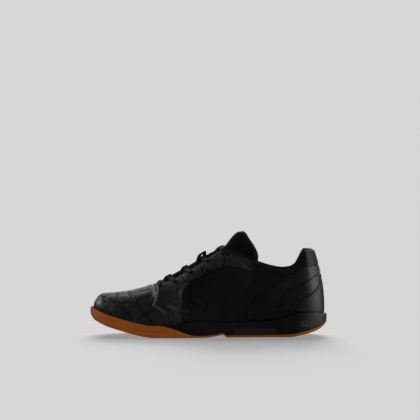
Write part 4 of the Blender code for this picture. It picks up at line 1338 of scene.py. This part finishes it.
def heel_panels():
    """Rear quarter, heel counter and ribbed band, by name."""
    half, made = PANEL_GAP / 2, {}
    turn, side = wrap_round_heel(QUARTER_FROM, 300, BAND_STEP, BAND_FROM)
    place, sole = station(turn), rim_top(turn) + OVER_RIM
    low = level_at(turn, side, np.maximum(HEEL_SEAMS.counter(place) + half, sole))
    high = level_at(turn, side, HEEL_SEAMS.band(place) - half)
    made["rear_quarter"] = SewnPanel(turn, side, low, high, 72)
    turn, side = wrap_round_heel(COUNTER_FROM, 200)
    high = level_at(turn, side, HEEL_SEAMS.counter(station(turn)) - half)
    made["heel_counter"] = SewnPanel(turn, side, level_at(turn, side, rim_top(turn) + OVER_RIM), high, 40)
    turn, side = wrap_round_heel(BAND_FROM, 220)
    low, high = (level_at(turn, side, seam(station(turn)) + gap) for seam, gap in (
        (HEEL_SEAMS.band, half), (HEEL_SEAMS.band_top, -half),
    ))
    made["heel_band"] = SewnPanel(turn, side, low, high, 72)
    turn, side = wrap_round_heel(TAB_FROM, 120)
    low = level_at(turn, side, HEEL_SEAMS.band_top(station(turn)) + half)
    high = np.concatenate([level_below_edge(turn[side == s], s, EDGE_BARE) for s in SIDES])
    made["heel_tab"] = SewnPanel(turn, side, low, high, 40)
    return made


def quarter_relief(panel):
    """Height and dark seams: a welt and a row along the edge, the hook, thin where the band begins."""
    place, flat = station(panel.turn), panel.base.reshape(-1, 3)
    top = panel.from_edge("high")
    beside = np.abs(place - (BAND_STEP + BAND_FROM) / 2) < 1.3
    steps = np.concatenate([finer(panel.base[-1, beside & (panel.side == side)]) for side in SIDES])
    hooks = np.concatenate([on_upper(QUARTER_HOOK, side, 120)[0] for side in SIDES])
    step, hook = (nearest(flat, line).reshape(top.shape) for line in (steps, hooks))
    seam = (1 - ramp(place, 214, 12)) * ramp(step, 3, 9)
    made = seam * (0.5 * hump(top - 1.7, 1.1) + channel(top, QUARTER_ROW, 0.6, 0.7))
    made = made + channel(hook, 0.0, 0.55, 0.8) + 0.45 * hump(hook - 1.9, 0.8)
    groove = np.maximum(seam * hump(top - QUARTER_ROW, 0.75), hump(hook, 0.8))
    return made - 1.3 * (1 - eased(step / 9)), groove


def cuff_panel(side):
    turn = turn_at(CUFF_FROM + (CUFF_TO - CUFF_FROM) * crowded(90, 0.6))
    strip = level_below_edge(turn, side, EDGE_BARE + CUFF_WIDTH)
    deep = level_at(turn, side, HEEL_SEAMS.band_top(station(turn)) + PANEL_GAP / 2)
    share = ramp(station(turn), BAND_FROM, 10)
    low = mixed(strip, np.minimum(deep, strip), share)
    return SewnPanel(turn, side, low, level_below_edge(turn, side, EDGE_BARE), 28)


class SHOE_OT_panels(bpy.types.Operator):
    """Eyestays, rear quarter, heel counter, ribbed band and heel tab"""

    bl_idname, bl_label = "shoe.panels", "Panels"

    def execute(self, context):
        colours = context.scene.shoe_colours
        # The eyestays get the panel colour 1.8 times lighter: painted light from above
        grain = coated_panel("eyestay_grain", shade(colours.panel, 1.8), 0.35, 0.38)
        for name, side in (("eyestay_outer", OUTER), ("eyestay_inner", INNER)):
            panel = eyestay_panel(side)
            bm = sheet_layers("groove", "wear")
            relief, groove, wear = eyestay_relief(panel, side)
            panel.lay(bm, 0.9, relief, groove=groove, wear=wear)
            made = add_piece(name + "_panel", bm, [grain], "panel_synthetic", name)
            cut_out(made, eyelet_punches((side,)))
            made.data.set_sharp_from_angle(angle=math.radians(50))
        panels = heel_panels()
        quarter, counter = panels["rear_quarter"], panels["heel_counter"]
        band, tab = panels["heel_band"], panels["heel_tab"]
        ends = tab.from_edge("front", "back")
        place = station(band.turn)
        ribs = np.abs(np.cos(np.pi * (band.base[..., 2] - HEEL_SEAMS.band(place)) / RIB_PITCH)) ** 8
        front = ramp(place, BAND_FROM, 14)
        reliefs = {
            "rear_quarter": quarter_relief(quarter),
            "heel_counter": (channel(counter.from_edge("high"), COUNTER_ROW, 0.3), 0 * counter.share),
            "heel_band": (-0.75 * ribs * front - 1.35 * (1 - front), ribs * ramp(place, BAND_FROM - 2, 8)),
            "heel_tab": (channel(ends, TAB_ROW, 0.3), 0 * tab.share),
        }
        finishes = {
            "rear_quarter": ("quarter_grain", shade(colours.panel, 0.8), 0.35, 0.4),
            "heel_counter": ("counter_satin", colours.satin, 0.38, 0.45),
            # The band gets the satin colour 1.6 times lighter: a painted reflection in its ribs, besides
            # its higher gloss
            "heel_band": ("band_satin", shade(colours.satin, 1.6), 0.7, 0.36),
            "heel_tab": ("tab_satin", colours.satin, 0.22, 0.5),
        }
        for name, (relief, groove) in reliefs.items():
            bm = sheet_layers("groove")
            panels[name].lay(bm, 0.9, relief, groove=groove)
            add_piece(name + "_panel", bm, [coated_panel(*finishes[name])], "panel_synthetic", name)
        return {"FINISHED"}


class SHOE_OT_collar(bpy.types.Operator):
    """Padded knit strips along both sides of the collar"""

    bl_idname, bl_label = "shoe.collar", "Collar"

    def execute(self, context):
        satin = coated_panel("collar_piping", context.scene.shoe_colours.satin, 0.45, 0.44)
        knit = knit_cloth("collar_knit", context.scene.shoe_colours.knit, 0.0011, 0.0008, 0.0003)
        for name, side in (("cuff_outer", OUTER), ("cuff_inner", INNER)):
            panel = cuff_panel(side)
            bm = sheet_layers("lay")
            fade = 1 - ramp(station(panel.turn), CUFF_FROM, 12)
            panel.lay(bm, 2.2, -1.3 * fade, lay=cloth_lay(panel.base))
            add_piece(name + "_pad", bm, [knit], "collar_textile", name)
            bm = sheet_layers("lay")
            place = np.linspace(PIPING_FROM, BAND_FROM + 2, 160)
            turn, back = turn_at(place), ramp(place, 172, 26)
            for near, far in PIPING_DROPS:
                level = level_below_edge(turn, side, mixed(near, far, back))
                out = upper_normal(turn, side, level)
                path = upper_skin(turn, side, level, 0.45 + OVERLAY_TOP * (1 - ramp(place, 178, 18)))
                wide = np.cross(unit(np.gradient(path, axis=0)), out)
                sweep(bm, path, wide, out, 1.2, 1.3, 8)
            add_piece(name + "_piping", bm, [satin], "panel_synthetic")
        return {"FINISHED"}


def tongue_net():
    """Outer and inner points of the tongue, row by row from the vamp to its top."""
    share, across = np.meshgrid(np.linspace(0, 1, 25), np.linspace(-1, 1, 11), indexing="ij")
    face = tongue_point(share, across)
    along, over = np.gradient(face, axis=0), np.gradient(face, axis=1)
    out = unit(np.cross(along, over))
    thick = TONGUE.thick(share) * (1 - 0.45 * np.abs(across) ** 3)
    inner = face - times(thick, out * np.where(out[..., 2:].mean() < 0, -1, 1))
    return face, inner


class SHOE_OT_tongue(bpy.types.Operator):
    """Padded tongue with a rolled binding round its free end"""

    bl_idname, bl_label = "shoe.tongue", "Tongue"

    def execute(self, context):
        colour = context.scene.shoe_colours.knit
        mesh = knit_cloth("tongue_mesh", colour, 0.0016, 0.0013, 0.0005)
        binding = knit_cloth("tongue_binding", shade(colour, 2.2), 0.0009, 0.0007, 0.0002)
        face, inner = tongue_net()
        bm = sheet_layers("lay")
        lay_grid(bm, face, lay=cloth_lay(face))
        lay_grid(bm, inner, lay=cloth_lay(face))
        for pair in zip(*((grid[0], grid[-1], grid[:, 0], grid[:, -1]) for grid in (face, inner))):
            strip = np.stack(pair)
            lay_grid(bm, strip, lay=cloth_lay(strip))
        made = add_piece("tongue_pad", bm, [mesh], "tongue_textile", "tongue")
        made.modifiers.new("pad", "SUBSURF").levels = 3
        made.modifiers["pad"].render_levels = 3
        finish_for_good(made)
        made.data.shade_smooth()
        rim = (face + inner) / 2
        places = np.concatenate((rim[15:, 0], rim[-1, 1:-1], rim[15:, -1][::-1]))
        path = smooth_path(places, 160)
        for _ in range(40):
            path[1:-1] = (path[:-2] + 2 * path[1:-1] + path[2:]) / 4
        along = unit(np.gradient(path, axis=0))
        out = unit(np.cross(along, np.array((1.0, 0.0, 0.3))))
        wide = np.cross(along, out)
        bm = sheet_layers("lay")
        sweep(bm, path, wide, out, TONGUE_BINDING, TONGUE_BINDING)
        add_piece("tongue_binding", bm, [binding], "tongue_textile")
        return {"FINISHED"}


def lace_strand(bm, places, facing, sizes, bunched):
    """Flat lace through a few places, drawn together where bunched says it is in an eyelet."""
    path = smooth_path(places, 90)
    along = unit(np.gradient(path, axis=0))
    slope = unit(np.array((10.0, 0.0, 5.0)))
    out = unit(np.cross(slope, along)) * facing
    wide = unit(np.cross(along, out))
    share = np.linspace(0, 1, len(path))
    squeeze = np.zeros(len(path))
    for at, reach in bunched:
        squeeze = np.maximum(squeeze, 1 - eased(np.abs(share - at) / reach))
    width = mixed(sizes.lace_width / MM, LACE_BUNCH_WIDE, squeeze)
    sweep(bm, path, wide, out, width, mixed(sizes.lace_thick / MM, LACE_BUNCH_THICK, squeeze))


def over_tongue(place, across, lift):
    """Point above the tongue's ridge, or to one side of it."""
    x = place - SOLE_LENGTH / 2
    ridge = Profile(TONGUE.x.values, TONGUE.z.values)(x) + tongue_puff(place)
    return np.array((x, PLAN.centre(place) + across, ridge + lift))


def over_eyestay(place, side, ahead):
    """Lace places from the throat edge, some way ahead of an eyelet, back to it and inside the upper."""
    centre, out = eyelet_frame(place, side)
    turn = turn_at(np.array((place - ahead, place - 0.5 * ahead)))
    level = level_below_edge(turn, side, np.array((0.0, 0.5 * EYELETS.drop(place))))
    lobe = LOBE_HEIGHT if place in EYELET_STATIONS[2:4] else 0.0
    edge, half_way = upper_skin(turn, side, level, np.array((1.7, 2.5 + lobe)))
    return [edge, half_way, centre + (2.2 + lobe) * out, centre - 1.0 * out, centre - 4.5 * out]


class SHOE_OT_laces(bpy.types.Operator):
    """Flat lace through the eyelets: a bar at the bottom, then crossings that come up under each eyestay"""

    bl_idname, bl_label = "shoe.laces", "Laces"

    def execute(self, context):
        sizes = context.scene.shoe_sizes
        bm = sheet_layers("lay")
        first = EYELET_STATIONS[0]
        middle = over_tongue(first, 0.0, 3.0)
        outer, inner = over_eyestay(first, OUTER, 0.5), over_eyestay(first, INNER, 0.5)
        lace_strand(bm, [*outer[::-1], middle, *inner], 1, sizes, ((0.12, 0.12), (0.88, 0.12)))
        for low, high in zip(EYELET_STATIONS, EYELET_STATIONS[1:]):
            for side in (INNER, OUTER):
                turn = np.array([turn_at(low + 0.2 * (high - low))])
                hidden = upper_skin(turn, side, level_below_edge(turn, side, 7.0), -3.2)[0]
                edge = upper_skin(turn, side, level_below_edge(turn, side, 0.5), -2.6)[0]
                loose = side == OUTER and high == EYELET_STATIONS[3]
                bunched = ((0.9, 0.14), (0.45, 0.3)) if loose else ((0.9, 0.14),)
                lifts = LOOSE_LACE if loose else ((0.0, LACE_OVER if side == OUTER else LACE_UNDER),)
                over = [over_tongue((low + high) / 2 + shift, -side * shift, lift) for shift, lift in lifts]
                ending = over_eyestay(high, -side, 0.3 * (high - low))
                lace_strand(bm, [hidden, edge, *over, *ending], -side, sizes, bunched)
        add_piece("lace", bm, [lace_weave(context.scene.shoe_colours)], "lace_textile", "lace_crossings")
        return {"FINISHED"}


class SHOE_OT_stitches(bpy.types.Operator):
    """Rows of stitches along the panels and the quilting"""

    bl_idname, bl_label = "shoe.stitches", "Stitches"

    def execute(self, context):
        pitch = context.scene.shoe_sizes.stitch_pitch / MM
        bm = bmesh.new()
        panels = heel_panels()
        rows = []
        for panel in (eyestay_panel(side) for side in SIDES):
            points, normals = panel.row("low", EYESTAY_ROW)
            for chosen in (station(panel.turn) < 113, station(panel.turn) > 160):
                rows.append((points[chosen], normals[chosen]))
        rows.append(panels["rear_quarter"].row("high", QUARTER_ROW))
        rows.append(panels["heel_counter"].row("high", COUNTER_ROW))
        for side in SIDES:
            points, turn, level = on_upper(QUARTER_HOOK, side, 120)
            normals = upper_normal(turn, side, level)
            rows.append((points + OVERLAY_TOP * normals, normals))
            for name in DOUBLE_SEAMS:
                points, turn, level = on_upper(QUILT_SEAMS[name], side, 120)
                normals = upper_normal(turn, side, level)
                across = unit(np.cross(normals, np.gradient(points, axis=0)))
                sunk = points - SEAM_SUNK * normals
                rows += [(sunk + spread * across, normals) for spread in (-SEAM_SPREAD, SEAM_SPREAD)]
        for points, normals in rows:
            add_stitches(bm, points, normals, pitch)
        add_piece("stitches", bm, [sewing_thread(context.scene.shoe_colours)], "lace_textile")
        return {"FINISHED"}


def soft_box(name, place, size, power, mirrored, lit):
    """Square soft light that faces the shoe and lights one collection."""
    light = bpy.data.lights.new(name, "AREA")
    light.shape, light.size, light.energy = "SQUARE", size, power
    made = put(name, light)
    made.location, made.visible_glossy = place, mirrored
    made.rotation_euler = (Vector((0, 0, 0.05)) - Vector(place)).to_track_quat("-Z", "Y").to_euler()
    made.light_linking.receiver_collection = lit


class SHOE_OT_stage(bpy.types.Operator):
    """Pale floor, soft studio light and the camera"""

    bl_idname, bl_label = "shoe.stage", "Stage"

    def execute(self, context):
        scene, stage = context.scene, context.scene.shoe_stage
        scene.view_settings.view_transform = "Standard"
        shoe, ground_lit = (bpy.data.collections.new(name) for name in ("shoe_lit", "floor_lit"))
        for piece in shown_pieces():
            shoe.objects.link(piece)
        bm = bmesh.new()
        bmesh.ops.create_grid(bm, x_segments=2, y_segments=2, size=30)
        floor = put("floor", mesh_of("floor", bm))
        tone = stage.backdrop[0]
        paint = Finish(
            "pale_floor", Base_Color=(FLOOR_WHITE, FLOOR_WHITE, FLOOR_WHITE, 1), Roughness=1.0,
            Specular_IOR_Level=0.0, Emission_Color=(1, 1, 1, 1), Emission_Strength=FLOOR_GLOW * tone,
        )
        floor.data.materials.append(paint.material)
        ground_lit.objects.link(floor)
        floor.visible_glossy = False
        floor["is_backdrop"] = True
        for name, height, spread, share in SUNS:
            sun = bpy.data.lights.new(name, "SUN")
            sun.energy = share * math.pi * tone / FLOOR_WHITE / math.sin(math.radians(height))
            sun.angle = math.radians(spread)
            sky = put(name, sun)
            sky.rotation_euler = (math.radians(height - 90), 0, 0)
            sky.light_linking.receiver_collection = ground_lit
        world = bpy.data.worlds.new("backdrop")
        world.use_nodes = True
        world.node_tree.nodes["Background"].inputs["Color"].default_value = (*stage.backdrop, 1)
        seen = world.cycles_visibility
        seen.diffuse = seen.glossy = seen.transmission = seen.scatter = False
        scene.world = world
        for light in SOFT_BOXES:
            soft_box(*light, shoe)
        lens = bpy.data.cameras.new("camera")
        lens.sensor_width = 36.0
        lens.lens = lens.sensor_width * stage.distance / stage.view_width
        camera = put("camera", lens)
        back = Vector((0, -math.cos(stage.elevation), math.sin(stage.elevation)))
        camera.location = Vector(stage.target) + back * stage.distance
        camera.rotation_euler = (-back).to_track_quat("-Z", "Y").to_euler()
        lens.clip_end = 60
        scene.camera = camera
        return {"FINISHED"}


PIECES = (
    SHOE_OT_outsole, SHOE_OT_midsole, SHOE_OT_insole, SHOE_OT_upper, SHOE_OT_panels, SHOE_OT_collar,
    SHOE_OT_tongue, SHOE_OT_laces, SHOE_OT_stitches, SHOE_OT_stage,
)


class SHOE_PT_court_shoe(bpy.types.Panel):
    """Lists the pieces of the shoe and their sizes and colours"""

    bl_idname, bl_label = "SHOE_PT_court_shoe", "Court shoe"
    bl_space_type, bl_region_type, bl_category = "VIEW_3D", "UI", "Court shoe"

    def draw(self, context):
        for settings in (context.scene.shoe_sizes, context.scene.shoe_colours, context.scene.shoe_stage):
            box = self.layout.box()
            for name in settings.__annotations__:
                box.prop(settings, name)
        for piece in PIECES:
            self.layout.operator(piece.bl_idname)


CLASSES = (ShoeColours, ShoeSizes, ShoeStage, *PIECES, SHOE_PT_court_shoe)


def register():
    for made in CLASSES:
        bpy.utils.register_class(made)
    bpy.types.Scene.shoe_colours = PointerProperty(type=ShoeColours)
    bpy.types.Scene.shoe_sizes = PointerProperty(type=ShoeSizes)
    bpy.types.Scene.shoe_stage = PointerProperty(type=ShoeStage)


def unregister():
    for name in ("shoe_stage", "shoe_sizes", "shoe_colours"):
        delattr(bpy.types.Scene, name)
    for made in reversed(CLASSES):
        bpy.utils.unregister_class(made)


def main():
    register()
    for piece in PIECES:
        group, name = piece.bl_idname.split(".")
        getattr(getattr(bpy.ops, group), name)()


if __name__ == "__main__":
    main()
